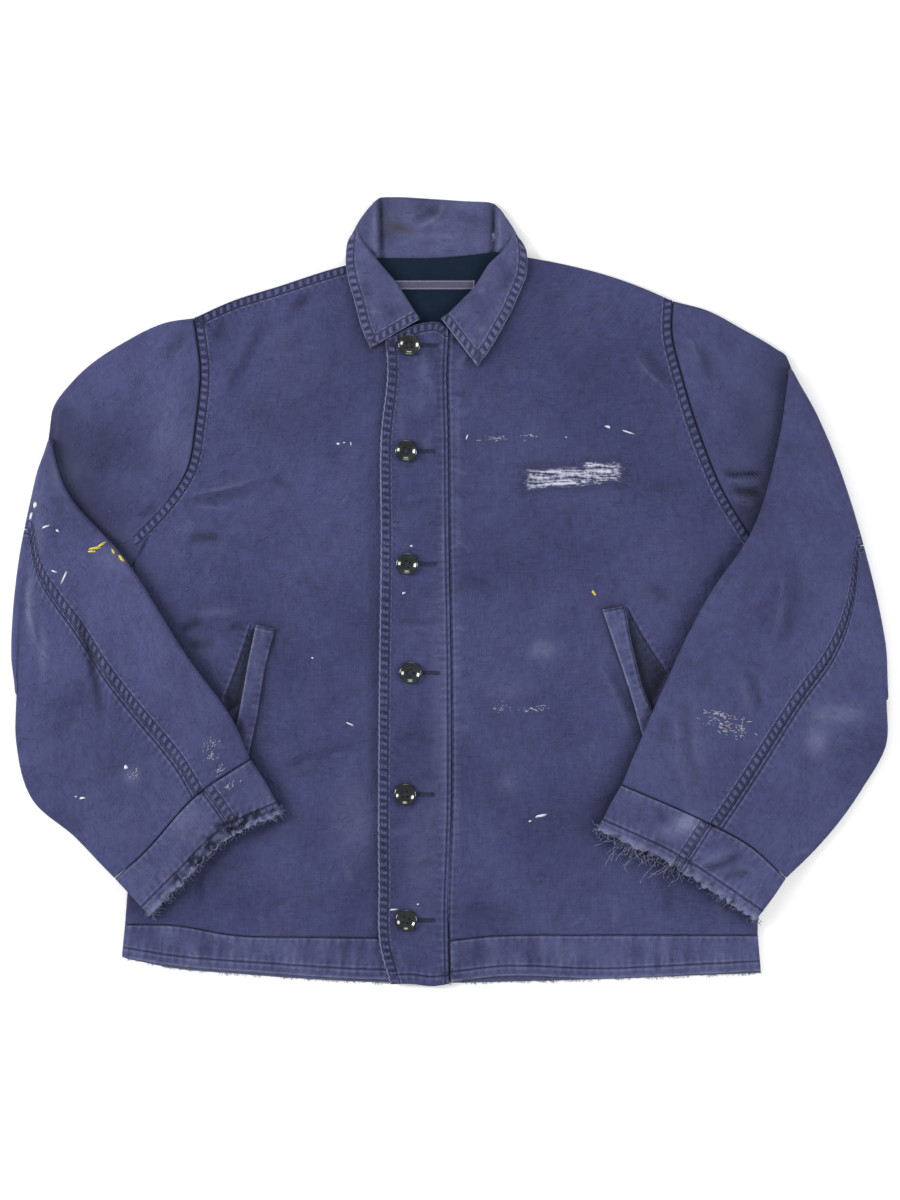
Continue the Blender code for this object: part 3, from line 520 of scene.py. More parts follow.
# %% Shells
made, cut_sizes = {}, {}


def signed_volume(points, quads):
    a, b, c, d = (points[quads[:, i]] for i in range(4))
    return (np.einsum("ij,ij->i", a, np.cross(b, c)) + np.einsum("ij,ij->i", a, np.cross(c, d))).sum()


def pulled_in(grid, inset):
    """The grid with its rim drawn inwards."""
    result = grid.copy()
    for axis in (0, 1):
        lines = np.moveaxis(result, axis, 0)
        for rim, inner in ((0, 1), (-1, -2)):
            step = lines[inner] - lines[rim]
            length = np.maximum(np.linalg.norm(step, axis=-1, keepdims=True), 1e-6)
            lines[rim] += step * np.minimum(inset / length, 0.4)
    return result


def placed(name, data):
    """A new object at the origin."""
    thing = bpy.data.objects.new(name, data)
    bpy.context.collection.objects.link(thing)
    return thing


def mesh_piece(name, points, faces, material, attributes=None):
    """A smooth mesh object at the origin, with its points given in millimetres."""
    mesh = bpy.data.meshes.new(name)
    mesh.from_pydata((points * MM).tolist(), [], faces.tolist() if hasattr(faces, "tolist") else faces)
    for key, values in (attributes or {}).items():
        mesh.attributes.new(key, "FLOAT_VECTOR", "POINT").data.foreach_set("vector", values.ravel())
    mesh.shade_smooth()
    mesh.materials.append(material)
    return placed(name, mesh)


def cut_size(grid):
    """Width, length and area of the flat cloth that a grid was cut from, in metres."""
    width, length = steps_along(grid, 1)[:, -1].max(), steps_along(grid, 0)[-1].max()
    flat = np.dstack([grid, np.zeros((*grid.shape[:2], 3 - grid.shape[2]))])
    down, up = flat[1:, 1:] - flat[:-1, :-1], flat[1:, :-1] - flat[:-1, 1:]
    area = np.linalg.norm(np.cross(down, up), axis=-1).sum() / 2
    return float(width) * MM, float(length) * MM, float(area) * MM * MM


def shell(name, cut, top, under, marks, material, inset=0.8):
    """A closed piece of cloth between an upper and an under grid, and the size it was cut to."""
    cut_sizes[name] = cut_size(cut)
    rows, columns = top.shape[:2]
    size = rows * columns
    index = np.arange(size).reshape(rows, columns)
    loop = np.concatenate([index[0], index[1:, -1], index[-1, -2::-1], index[-2:0:-1, 0]])
    middle = ((top + under) / 2).reshape(-1, 3)[loop]
    points = np.concatenate([pulled_in(top, inset).reshape(-1, 3),
                             pulled_in(under, inset / 2).reshape(-1, 3), middle])
    points[:, 2] = np.maximum(points[:, 2], 0.0)
    quads = np.stack([index[:-1, :-1], index[:-1, 1:], index[1:, 1:], index[1:, :-1]], -1)
    quads = quads.reshape(-1, 4)
    rim = 2 * size + np.arange(len(loop))
    next_loop, next_rim = np.roll(loop, -1), np.roll(rim, -1)
    faces = np.concatenate([
        quads, quads[:, ::-1] + size,
        np.stack([next_loop, loop, rim, next_rim], -1),
        np.stack([next_rim, rim, loop + size, next_loop + size], -1),
    ])
    if signed_volume(points, faces) < 0:
        faces = faces[:, ::-1]
    values = {}
    for key, mark in marks.items():
        flat = mark.reshape(-1, 3)
        values[key] = np.concatenate([flat, flat, flat[loop]]).astype(np.float32)
    made[name] = mesh_piece(name, points, faces, material, values)
    print(f"{name}: {2 * len(faces)} triangles, {top[..., 2].max():.1f} mm high")


def woven(grid, marks=None):
    """Marks that also say how far across and along its own cloth each point is, for the weave."""
    marks = marks or blank_marks(grid.shape[:2])
    marks["weave"][..., 0] = steps_along(grid, 1)
    marks["weave"][..., 1] = steps_along(grid, 0)
    return marks


# %% [markdown]
# ## Writing a material as sums
#
# A material is a network of small nodes, and sums are easier to read than networks. Value wraps one
# socket and lets Python's own operators add the Math nodes. Finish holds the material, with one
# method that makes any node.

# %% A small language for materials
def math_method(operation, swapped=False):
    """A method that adds one Math node."""
    def method(self, *others):
        values = (others[0], self) if swapped else (self, *others)
        return self.finish.math(operation, *values)

    return method


class Value:
    """A number in a material."""

    def __init__(self, finish, socket):
        self.finish, self.socket = finish, socket

    __add__, __sub__ = math_method("ADD"), math_method("SUBTRACT")
    __mul__, __truediv__ = math_method("MULTIPLY"), math_method("DIVIDE")
    __radd__, __rmul__, __rsub__ = __add__, __mul__, math_method("SUBTRACT", swapped=True)
    sine, size = math_method("SINE"), math_method("ABSOLUTE")
    most, least = math_method("MAXIMUM"), math_method("MINIMUM")

    def fade(self, low, high):
        """0 up to low and 1 from high, smoothly; or 1 to 0 when low is the larger."""
        node = self.finish.node("MapRange", {"interpolation_type": "SMOOTHSTEP"},
                                {0: self, 1: low, 2: high, 3: 0.0, 4: 1.0})
        return Value(self.finish, node.outputs[0])


class Finish:
    """A material, with short ways to add its nodes."""

    def __init__(self, name):
        self.material = bpy.data.materials.new(name)
        self.material.use_nodes = True
        self.tree = self.material.node_tree
        self.shader = self.tree.nodes["Principled BSDF"]

    def node(self, kind, settings=None, inputs=None):
        made_node = self.tree.nodes.new("ShaderNode" + kind)
        for key, value in (settings or {}).items():
            setattr(made_node, key, value)
        for key, value in (inputs or {}).items():
            self.feed(made_node.inputs[key], value)
        return made_node

    def feed(self, socket, value):
        value = value.socket if isinstance(value, Value) else value
        if isinstance(value, bpy.types.NodeSocket):
            self.tree.links.new(value, socket)
        else:
            socket.default_value = value

    def math(self, operation, *values):
        node = self.node("Math", {"operation": operation}, dict(enumerate(values)))
        return Value(self, node.outputs[0])

    def place(self):
        """Object coordinates in millimetres."""
        coordinates = self.node("TexCoord").outputs["Object"]
        return self.scaled(coordinates, (1 / MM,) * 3)

    def scaled(self, vector, factors):
        return self.node("VectorMath", {"operation": "MULTIPLY"}, {0: vector, 1: factors}).outputs[0]

    def attribute(self, name):
        return self.node("Attribute", {"attribute_name": name}).outputs["Vector"]

    def parts(self, vector):
        return [Value(self, socket) for socket in self.node("SeparateXYZ", None, {0: vector}).outputs]

    def noise(self, vector, scale, detail=3.0, roughness=0.55):
        """Soft noise from 0 to 1, with this many spots to a millimetre."""
        node = self.node("TexNoise", None, {"Vector": vector, "Scale": scale, "Detail": detail,
                                            "Roughness": roughness})
        return Value(self, node.outputs[0])

    def mix(self, factor, first, second):
        """A colour between two colours."""
        node = self.node("Mix", {"data_type": "RGBA"}, {0: factor, 6: first, 7: second})
        return node.outputs[2]

    def dim(self, colour, factor):
        return self.node("VectorMath", {"operation": "SCALE"}, {0: colour, "Scale": factor}).outputs[0]

    def dress(self, colour, roughness, height, strength=1.0, **constants):
        """Sets the surface. The height of its bump is in millimetres."""
        node = self.node("Bump", None, {"Height": height, "Distance": MM, "Strength": strength})
        surface = {"Base Color": colour, "Roughness": roughness, "Normal": node.outputs[0]}
        for key, value in {**surface, **constants}.items():
            self.feed(self.shader.inputs[key.replace("_", " ")], value)
        return self.material


# %% [markdown]
# ## Washed twill
#
# The cloth began navy and has faded to a dusty violet blue. From far to near it shows: slow clouds
# of fading, the threads of the weave, dark rungs between the stitch rows of each felled seam, a
# pale line where a seam's ridge has rubbed, thread lines that stay almost black, painted light on
# fold ridges, and painted shade in fold hollows and beside the layers that lie on the cloth. All of
# it comes from the seam marks and from noise.

# %% The twill
DEEP = (0.021, 0.023, 0.066, 1.0)
FADED = (0.047, 0.050, 0.121, 1.0)
BLUISH = (0.036, 0.046, 0.112, 1.0)
# A pale colour for rubbed wear and for painted light on fold ridges.
RUBBED_AND_LIT = (0.180, 0.192, 0.310, 1.0)
# A dark colour for stain and for painted shade.
SHADE_AND_GRIME = (0.014, 0.015, 0.025, 1.0)
BROWN = (0.046, 0.041, 0.046, 1.0)
THREAD_DARK = (0.010, 0.012, 0.030, 1.0)
CHALK = (0.50, 0.51, 0.62, 1.0)


def drifting(run_at):
    """The same uneven run along a seam as in the relief."""
    return 1.1 * (run_at / SLOW_DRIFT).sine() + 0.7 * (run_at / QUICK_DRIFT).sine()


def twill(name, lightness=1.0, rubbed=0.0, painted=False):
    """Faded twill. Lightness scales it, rubbed adds wear all over, and painted adds a brushed bar."""
    cloth = Finish(name)
    place = cloth.place()
    across, run_at, _ = cloth.parts(cloth.attribute("felled"))
    line_across, line_run, line_far = cloth.parts(cloth.attribute("stitched"))
    fade, soil_and_shade, edge_wear = cloth.parts(cloth.attribute("tone"))
    weave = cloth.attribute("weave")
    brown = cloth.parts(weave)[2]

    clouds = cloth.noise(place, 0.008, 3)
    patches = cloth.noise(place, 0.035, 5, 0.6)
    mottle = cloth.noise(place, 0.16, 4, 0.6)
    warp = cloth.noise(cloth.scaled(weave, (0.8, 0.05, 0)), 1.0, 2)
    weft = cloth.noise(cloth.scaled(weave, (0.05, 0.8, 0)), 1.0, 2)
    grain = cloth.noise(place, 1.1, 2)

    uneven = 4.5 * (patches - 0.5) + 3.0 * (mottle - 0.5)
    rung = (2 * math.pi / ROPE_PITCH * run_at + drifting(run_at) + 0.2 * across + uneven).sine()
    from_middle = across.size()
    within = from_middle.fade(FELL_HALF - 0.9, FELL_HALF - 1.9)
    dents = within * rung.fade(0.15, -0.6) * mottle.fade(0.28, 0.55)
    rows = (from_middle - (FELL_HALF - 0.7)).size().fade(0.85, 0.25)
    ridge_light = (from_middle - (FELL_HALF + 0.6)).size().fade(1.3, 0.2) * (0.55 + 0.45 * rung)
    rungs_light = within * rung.fade(-0.1, 0.7)
    halo = (from_middle - FELL_HALF).most(0).fade(9, 0) * (1 - within)

    crumple = cloth.noise(place, 0.09, 6, 0.62)
    bends = cloth.noise(cloth.scaled(place, (0.010, 0.024, 1)), 1.0, 3, 0.55)
    fold_lines = (bends - 0.5).size().fade(0.020, 0.0) * crumple.fade(0.44, 0.58)
    bends = cloth.noise(cloth.scaled(place, (0.034, 0.020, 1)), 1.0, 4, 0.6)
    finer = 0.7 * (bends - 0.52).size().fade(0.016, 0.0) * patches.fade(0.50, 0.62)
    fold_lines = fold_lines.most(finer)

    from_line = line_across.size().most(line_far - 1.6)
    pucker = (2 * math.pi / PUCKER_PITCH * line_run + drifting(line_run)).sine()
    sunk = from_line.fade(0.75, 0.15)
    beside = (from_line - 2.3).size().fade(1.5, 0.2)
    puckers = pucker * from_line.fade(11, 1.5) * (1 - sunk) * (0.5 + 1.2 * (patches - 0.2))

    shade = 1 + 0.40 * (clouds - 0.5) + 0.42 * (patches - 0.5) + 0.55 * (mottle - 0.5)
    shade = shade + 0.50 * (warp - 0.5) + 0.40 * (weft - 0.5) + 0.70 * (grain - 0.5)
    shade = shade - 0.16 * rung * halo + 0.24 * puckers + 0.16 * fold_lines
    colour = cloth.mix(patches.fade(0.35, 0.75) * 0.45, FADED, BLUISH)
    colour = cloth.mix(clouds.fade(0.62, 0.30) * 0.35, colour, DEEP)
    colour = cloth.dim(colour, shade * lightness)
    # The first tone channel brings faded patches and painted light on fold ridges; the second brings
    # stain and painted shade.
    worn = fade + rubbed * patches.fade(0.3, 0.75) + 0.40 * ridge_light + 0.18 * rungs_light
    worn = worn + 0.16 * beside + edge_wear * mottle.fade(0.2, 0.5)
    colour = cloth.mix((worn * (0.55 + 0.9 * mottle)).least(0.92), colour, RUBBED_AND_LIT)
    colour = cloth.mix((soil_and_shade * (0.6 + 0.8 * mottle)).least(0.96), colour, SHADE_AND_GRIME)
    colour = cloth.mix((brown * (0.5 + mottle)).least(0.9), colour, BROWN)
    dark = (0.66 * dents).most(0.62 * rows * grain.fade(0.1, 0.5))
    dark = dark.most(0.80 * sunk * grain.fade(0.15, 0.55))
    colour = cloth.mix(dark, colour, THREAD_DARK)
    roughness = 0.86 + 0.12 * (mottle - 0.5)
    if painted:
        colour, roughness = brushed_bar(cloth, place, colour, roughness)

    height = 2.6 * crumple + 0.9 * fold_lines + 0.16 * warp + 0.13 * weft + 0.10 * grain
    height = height + 0.55 * within * rung - 0.5 * rows - 0.9 * sunk + 0.35 * puckers
    height = height - 0.3 * rung * halo
    return cloth.dress(colour, roughness, height, 0.75, Sheen_Weight=0.03, Sheen_Roughness=0.5,
                       Specular_IOR_Level=0.08)


# %% [markdown]
# One place on the left chest carries old paint. It is kept as a plain brushed bar: chalky where the
# brush was loaded, streaked by the bristles, worn through to the cloth, with a dull rim around it.

# %% A brushed bar of old paint
BAR_CENTRE, BAR_HALF, BAR_TILT = (114.0, 108.0), (44.0, 9.0), math.radians(4)


def brushed_bar(cloth, place, colour, roughness):
    x, y, _ = cloth.parts(place)
    dx, dy = x - BAR_CENTRE[0], y - BAR_CENTRE[1]
    run = math.cos(BAR_TILT) * dx + math.sin(BAR_TILT) * dy
    rise = math.cos(BAR_TILT) * dy - math.sin(BAR_TILT) * dx
    wobble = cloth.noise(place, 0.05, 3)
    rise = rise + 16 * (wobble - 0.5)
    streaks = cloth.noise(cloth.scaled(place, (0.035, 0.55, 1)), 1.0, 3)
    ends = (run.size() - BAR_HALF[0]) + 46 * (streaks - 0.5)
    beyond = ends.most(rise.size() - BAR_HALF[1])
    blots = cloth.noise(place, 0.30, 5, 0.7)
    rough_edge = beyond + 10 * (blots - 0.5)
    paint = rough_edge.fade(1.5, -1.5) * (0.75 * streaks + 0.55 * blots).fade(0.56, 0.76)
    rim = (rough_edge - 3).fade(7, 0) * 0.30
    colour = cloth.mix(rim, colour, SHADE_AND_GRIME)
    return cloth.mix(paint * 0.88, colour, CHALK), roughness - 0.15 * paint


TWILL = twill("washed twill")
TWILL_PAINTED = twill("washed twill with old paint", painted=True)
TWILL_WORN = twill("rubbed twill", lightness=1.08, rubbed=0.16)
TWILL_SLEEVE = twill("sleeve twill", lightness=1.05, rubbed=0.05)
print("cloth finishes:", [m.name for m in (TWILL, TWILL_PAINTED, TWILL_WORN, TWILL_SLEEVE)])

# %% [markdown]
# ## Lining, tape, thread and buttons
#
# The lining has kept its ink blue. The stay tape across it has two pale edges. Sewing thread is
# nearly black; the loose threads of the frayed ends have washed out to a greyish blue. The buttons
# are glossy dark green-black, with swirls and fine scratches.

# %% The other finishes
def lining_finish():
    cloth = Finish("ink lining")
    place = cloth.place()
    weft = cloth.noise(cloth.scaled(place, (0.08, 1.3, 1)), 1.0, 2)
    warp = cloth.noise(cloth.scaled(place, (1.3, 0.08, 1)), 1.0, 2)
    cloudy = cloth.noise(place, 0.04, 4)
    lint = cloth.noise(place, 0.9, 2, 0.8).fade(0.735, 0.80)
    colour = cloth.mix(cloudy, (0.004, 0.009, 0.019, 1), (0.009, 0.017, 0.032, 1))
    colour = cloth.dim(colour, 0.55 + 0.5 * weft + 0.45 * warp)
    colour = cloth.mix(lint * 0.5, colour, (0.25, 0.28, 0.33, 1))
    return cloth.dress(colour, 0.62 + 0.2 * cloudy, 0.15 * warp + 0.15 * weft + 0.8 * cloudy, 0.7,
                       Specular_IOR_Level=0.04)


def tape_finish():
    cloth = Finish("stay tape")
    place = cloth.place()
    x, y, _ = cloth.parts(place)
    middle = (y - sum(TAPE_EDGES) / 2).size()
    pale = (middle - 3.3).size().fade(0.9, 0.3)
    pale = pale.most((x - TAPE_SPAN[1] + 1.6).size().fade(0.9, 0.3))
    twist = cloth.noise(cloth.scaled(place, (0.8, 0.3, 1)), 1.0, 3)
    ribs = (2 * math.pi / 1.7 * (x + y)).sine()
    colour = cloth.mix(twist, (0.030, 0.030, 0.062, 1), (0.082, 0.078, 0.140, 1))
    colour = cloth.mix(pale * (0.35 + 0.6 * twist), colour, (0.20, 0.19, 0.27, 1))
    return cloth.dress(colour, 0.7 + 0.2 * twist, 0.12 * ribs + 0.5 * pale)


def thread_finish(name, dark, light):
    """Spun thread: a colour that changes from strand to strand and fine twist on it."""
    cloth = Finish(name)
    place = cloth.place()
    strand = cloth.noise(place, 0.35, 3)
    fluff = cloth.noise(place, 2.6, 2)
    colour = cloth.dim(cloth.mix(strand.fade(0.3, 0.7), dark, light), 0.7 + 0.6 * fluff)
    return cloth.dress(colour, 0.75 + 0.2 * strand, 0.12 * fluff)


def button_finish():
    horn = Finish("dark button")
    place = horn.place()
    swirl = horn.noise(place, 0.10, 4, 0.6)
    scratches = horn.noise(horn.scaled(place, (0.4, 3.0, 1)), 1.0, 2)
    colour = horn.mix(swirl.fade(0.40, 0.65), (0.003, 0.004, 0.005, 1), (0.010, 0.019, 0.016, 1))
    return horn.dress(colour, 0.10 + 0.16 * scratches, 0.03 * scratches + 0.10 * swirl, 0.5,
                      Coat_Weight=0.8, Coat_Roughness=0.05)


LINING = lining_finish()
TAPE = tape_finish()
SEWING = thread_finish("sewing thread", (0.008, 0.010, 0.028, 1), (0.026, 0.030, 0.070, 1))
FRAY = thread_finish("frayed ends", (0.036, 0.040, 0.092, 1), (0.175, 0.185, 0.290, 1))
HORN = button_finish()

# %% [markdown]
# ## Faded places, stain, and painted light and shade
#
# Wear is never even. These tables place pale patches, partly faded cloth and partly painted light on
# folds, and darker places, partly stain and partly painted shade of folds: centre, half width, half
# height and strength. The body also gets painted shade towards an overlapping sleeve or collar leaf.

# %% Patches of wear
# Pale places: faded patches, and painted light on folds such as those of the placket.
FADES_AND_LIGHT = [
    (-92, -216, 20, 34, 0.16), (86, -56, 12, 8, 0.3), (53, -93, 20, 10, 0.1), (52, -180, 8, 10, 0.18),
    (-230, -50, 14, 10, 0.1), (-30, -250, 14, 60, 0.1), (-12, -100, 8, 150, 0.1),
    (-150, 200, 30, 40, 0.06), (341, -141, 11, 13, 0.34), (352, -115, 15, 9, 0.24),
    (374, -115, 12, 9, 0.22), (219, -217, 10, 8, 0.55), (205, -225, 18, 8, 0.2),
    (-395, -12, 4, 26, 0.34), (-383, -56, 4, 20, 0.22), (-368, 113, 14, 20, 0.18),
    (-319, 29, 14, 9, 0.14), (-300, -173, 8, 8, 0.22), (-265, 142, 18, 34, 0.12),
    (-388, 60, 6, 40, 0.2), (-248, -215, 16, 20, 0.14), (228, -160, 8, 40, 0.12),
    (-250, 60, 10, 8, 0.1), (5, 150, 2.5, 40, 0.16), (5, 62, 2.5, 36, 0.14), (5, -60, 2.5, 60, 0.12),
    (5, -210, 2.5, 60, 0.12), (-8, 40, 2, 40, 0.16), (-8, -150, 2, 70, 0.14), (-26, 206, 5, 12, 0.14),
    (-30, 176, 6, 9, 0.12), (-24, 138, 5, 7, 0.12), (-48, 160, 3, 24, 0.1),
]
# Darker places: stain, and painted shade of folds such as those of the placket.
SHADE_AND_STAINS = [
    (-331, 128, 24, 18, 0.3), (-365, 165, 16, 14, 0.16), (274, 165, 16, 20, 0.22),
    (314, 133, 6, 7, 0.22), (270, 75, 6, 7, 0.16), (289, 58, 6, 15, 0.14), (272, -40, 6, 9, 0.16),
    (-120, -290, 34, 10, 0.1), (30, -300, 34, 9, 0.16), (-160, 5, 22, 14, 0.08),
    (-97, 235, 12, 22, 0.18), (90, 265, 12, 30, 0.2), (-205, 46, 26, 6, 0.14), (190, 4, 12, 10, 0.12),
    (17, 140, 8, 12, 0.1), (-13, 214, 7, 26, 0.26), (-11, 172, 6, 24, 0.22), (-14, 122, 5, 14, 0.18),
    (-55, 200, 4, 24, 0.14), (-12, 66, 5, 16, 0.12), (-30, 96, 10, 5, 0.12), (-33, 158, 12, 5, 0.14),
    (-14, -10, 5, 22, 0.12), (-32, -130, 12, 6, 0.12), (-13, -222, 5, 30, 0.12),
    (-40, -345, 12, 6, 0.16), (12, 100, 5, 12, 0.12), (14, 186, 6, 9, 0.14), (10, 30, 5, 10, 0.1),
]


def spots(plan, table):
    total = np.zeros(plan.shape[:-1])
    for x, y, half_x, half_y, strength in table:
        away = ((plan[..., 0] - x) / half_x) ** 2 + ((plan[..., 1] - y) / half_y) ** 2
        total += strength * np.exp(-away)
    return total


# the torn places of the right cuff, then of the left
TEARS = [
    (-210, -222, 10, 6, 1.6), (-196, -215, 10, 5, 1.6), (-182, -209, 8, 4.5, 1.4),
    (-168, -205, 5, 4, 0.9), (-225, -237, 9, 8, 1.4), (-240, -253, 9, 8, 1.4), (-255, -270, 8, 7, 1.1),
    (-269, -286, 6, 5, 0.8), (150, -233, 8, 3.5, 0.7), (180, -247, 9, 3.5, 0.7),
    (214, -264, 9, 4.5, 0.9), (236, -277, 9, 5, 1), (258, -291, 8, 5, 0.9),
]

LEAVES = [
    np.array([(-102, 312), (-99, 298), (-80, 229), (-77, 226), (-49, 244), (-32, 255)], float),
    np.array([(71, 317), (69, 297), (57, 262), (37, 226), (24, 210), (-10, 254)], float),
]
WELT_OUTLINES = [np.array([*inner, *outer[::-1]], float) for inner, outer in (WELT_RIGHT, WELT_LEFT)]
PLACKET_OUTLINE = np.array([*PLACKET_EDGE, *PLACKET_SEAM[::-1]], float)


def contact_shade(plan, outlines, reach, strength):
    """Painted shade in the corner where one layer lies on another."""
    total = np.zeros(plan.shape[:-1])
    for outline in outlines:
        outside = np.maximum(-inside_distance(plan, outline), 0)
        total = np.maximum(total, strength * np.exp(-outside / reach))
    return total


def tone_marks(marks, plan, soil_and_shade=0.0, wear=0.0, folds=0.0):
    """Faded patches, stain and painted shade from the tables and what is given; painted light on the
    folds' ridges and painted shade in their hollows.
    """
    marks["tone"][..., 0] = spots(plan, FADES_AND_LIGHT) + 0.08 * np.maximum(folds, 0)
    marks["tone"][..., 1] = spots(plan, SHADE_AND_STAINS) + soil_and_shade + 0.22 * np.maximum(-folds, 0)
    marks["tone"][..., 2] = wear


# %% [markdown]
# ## Back and fronts
#
# The back is one wide piece, flat on the floor. Each front is a grid between its hem, its side and
# armhole, its shoulder and its front edge. The pocket mouth is a slit that the welt leaves open: the
# cloth there sinks and gets painted shade. Felled strips run along the armholes and the right shoulder.

# %% Back panel and its band
FRONT_COLUMNS, FRONT_ROWS = 122, 268
BAND_START = SEAM_GAP / 30
POCKET_MOUTHS = [
    [(-184, -33), (-189, -36), (-198, -60), (-214, -101), (-211, -115), (-198, -106), (-190, -66),
     (-184, -50)],
    [(165, -17), (175, -34), (202, -78), (193, -100), (186, -108), (176, -84), (169, -60), (166, -40)],
]
POCKET_LINES = [
    [(-189, -33), (-198, -60), (-213, -101)],
    [(165, -18), (183, -50), (201, -77)],
]


def back_pieces():
    plan = patch(even(90), even(96), **BODY_EDGES)
    marks = woven(plan)
    tone_marks(marks, plan, soil_and_shade=0.10)
    for line in (ARMHOLE_RIGHT, ARMHOLE_LEFT, SHOULDER_RIGHT, SHOULDER_LEFT):
        felled_edge(marks, plan, line, 40)
    top = raised(plan, WALL + 0.15 * wander(plan, 90, 21))
    shell("back_cloth", plan, top, raised(plan, 0.0), marks, TWILL)

    hem = BODY_EDGES["low"]
    sides = [edge([tuple(hem(at)[0]), BAND_BACK[end]]) for at, end in ((0, 0), (1, -1))]
    strip = patch(even(260), np.linspace(BAND_START, 1, 18), hem, edge(BAND_BACK), *sides)
    marks = woven(strip)
    tone_marks(marks, strip, soil_and_shade=0.30, wear=0.35 * ease(1 - steps_along(strip[::-1], 0)[::-1] / 4))
    lay(marks, "stitched", *nearest(strip, hem(even(80))))
    stitched_line(marks, strip, BAND_BACK, 80, move=(0, 9.0))
    top = raised(strip, WALL + 0.5 * seam_relief(marks))
    shell("back_band_cloth", strip, top, raised(strip, 0.0), marks, TWILL_WORN)


back_pieces()


# %% Fronts
def mouth_depth(plan):
    """1 in a pocket mouth, falling to 0 at its edge."""
    depths = [inside_distance(plan, np.array(mouth, float)) + 0.5 for mouth in POCKET_MOUTHS]
    return np.max([ease(depth / 2.5) for depth in depths], axis=0)


def front_marks(plan, side):
    """The seams of a front: armhole, shoulder or placket seam, and a line by the pocket mouth."""
    marks = blank_marks(plan.shape[:2])
    felled_edge(marks, plan, ARMHOLES[side], 60)
    if side == "right":
        felled_edge(marks, plan, SHOULDER_RIGHT, 40, shift=31)
        stitched_line(marks, plan, POCKET_LINES[0], 12)
    else:
        stitched_line(marks, plan, PLACKET_SEAM, 80, move=(PLACKET_GAP + 0.8, 0))
        stitched_line(marks, plan, POCKET_LINES[1], 12, shift=9)
    return marks


def front_top(plan, marks, side):
    sunk = 1.5 * mouth_depth(plan)
    return UNDERS[side](plan) + WALL + body_relief(plan) + seam_relief(marks) - sunk


def front_pieces():
    across, rows = even(FRONT_COLUMNS), even(FRONT_ROWS)
    right = patch(across, rows, edge(HEM_RIGHT), edge(SHOULDER_RIGHT), BODY_EDGES["left"],
                  edge(CENTRE_RIGHT, NECKLINE_RIGHT, corners=(NECK_CORNER,)))
    seam = [HEM_LEFT[0]] + [(x + PLACKET_GAP, y) for x, y in PLACKET_SEAM[1:]]
    left = patch(across, rows, edge(HEM_LEFT), edge(SHOULDER_LEFT),
                 edge(seam, NECKLINE_LEFT, corners=(NECK_CORNER,)), BODY_EDGES["right"])
    for side, plan, material in (("right", right, TWILL), ("left", left, TWILL_PAINTED)):
        marks = woven(plan, front_marks(plan, side))
        # Painted shade beside the sleeves, collar leaves, welts and placket that lie on the front, as a
        # dark line along the armhole seam, and in the pocket mouth; the sharp creases get painted light
        # and shade.
        shade = contact_shade(plan, COVERS, 13, 0.42) + contact_shade(plan, LEAVES, 9, 0.30)
        shade = shade + contact_shade(plan, WELT_OUTLINES, 3.2, 0.62)
        to_armhole, _ = nearest(plan, along(ARMHOLES[side], even(60)))
        shade = shade + 0.85 * ease(1 - np.abs(to_armhole) / 1.5)
        if side == "right":
            shade = shade + contact_shade(plan, [PLACKET_OUTLINE], 4.5, 0.42)
        mouth = mouth_depth(plan)
        tone_marks(marks, plan, soil_and_shade=shade + 0.62 * mouth, folds=creases(plan, BODY_CREASES, SHARP))
        top = raised(plan, front_top(plan, marks, side))
        low = raised(plan, UNDERS[side](plan) + 0.6 * body_relief(plan) - 0.3 * mouth)
        low[..., 2] = np.maximum(low[..., 2], WALL + 0.1)
        shell(f"front_{side}_cloth", plan, top, low, marks, material)


front_pieces()

# %% [markdown]
# ## Bands, placket and welts
#
# The band is a doubled strip at the hem, gathered a little, with one row of thread near its edge.
# The placket is the button strip: free on its left edge, with two rows of stitching, and sewn down
# on its right. The welts are narrow folded strips beside the pocket mouths.

# %% Front bands
def gathers(plan, run_at, strength=0.8):
    """Short upright wrinkles, as where a long hem is eased into a band."""
    wave = np.sin(run_at / 3.1 + 2.1 * np.sin(run_at / 17))
    wave = wave + 0.7 * np.sin(run_at / 7.9 + plan[..., 1] / 14)
    return strength * wave * (0.45 + 0.55 * np.sin(run_at / 43) ** 2)


def band_pieces():
    for side, hem, band in (("right", HEM_RIGHT, BAND_RIGHT), ("left", HEM_LEFT, BAND_LEFT)):
        sides = ends_of(hem, band)
        plan = patch(even(170), np.linspace(BAND_START, 1, 24), edge(hem), edge(band), *sides)
        marks = woven(plan)
        stitched_line(marks, plan, hem, 50, shift=17)
        stitched_line(marks, plan, band, 50, shift=40, move=(0.0, 9.5))
        if side == "left":
            stitched_line(marks, plan, PLACKET_SEAM, 80, move=(PLACKET_GAP + 0.8, 0))
        to_edge = steps_along(plan[::-1], 0)[::-1]
        gathered = gathers(plan, steps_along(plan, 1)) * ease(to_edge / 8)
        # Painted shade beside the sleeves that lie on the band, and painted light and shade on its
        # gathers.
        tone_marks(marks, plan, soil_and_shade=contact_shade(plan, COVERS, 9, 0.25),
                   wear=0.5 * ease(1 - to_edge / 3), folds=gathered)
        relief = seam_relief(marks) + gathered + 0.5 * body_relief(plan)
        edge_fall = 0.8 * ease(1 - to_edge / 5)
        under = UNDERS[side](plan)
        top = raised(plan, under + WALL + relief - edge_fall)
        shell(f"band_{side}_cloth", plan, top, raised(plan, under), marks, TWILL_WORN)


band_pieces()


# %% Placket
PLACKET_ROW_1, PLACKET_ROW_2 = 5.0, 9.4


def placket_marks(plan):
    marks = blank_marks(plan.shape[:2])
    felled_edge(marks, plan, PLACKET_EDGE, 90, centre=5.6)
    felled_edge(marks, plan, PLACKET_TOP, 30, shift=5, centre=4.6)
    stitched_line(marks, plan, PLACKET_END, 20, move=(0.0, 9.0))
    stitched_line(marks, plan, PLACKET_SEAM, 80, shift=4, move=(-3.2, 0.0))
    return marks


def placket_top(plan, marks):
    return front_under(plan) + 2 * WALL + SEAM_GAP + body_relief(plan) + seam_relief(marks)


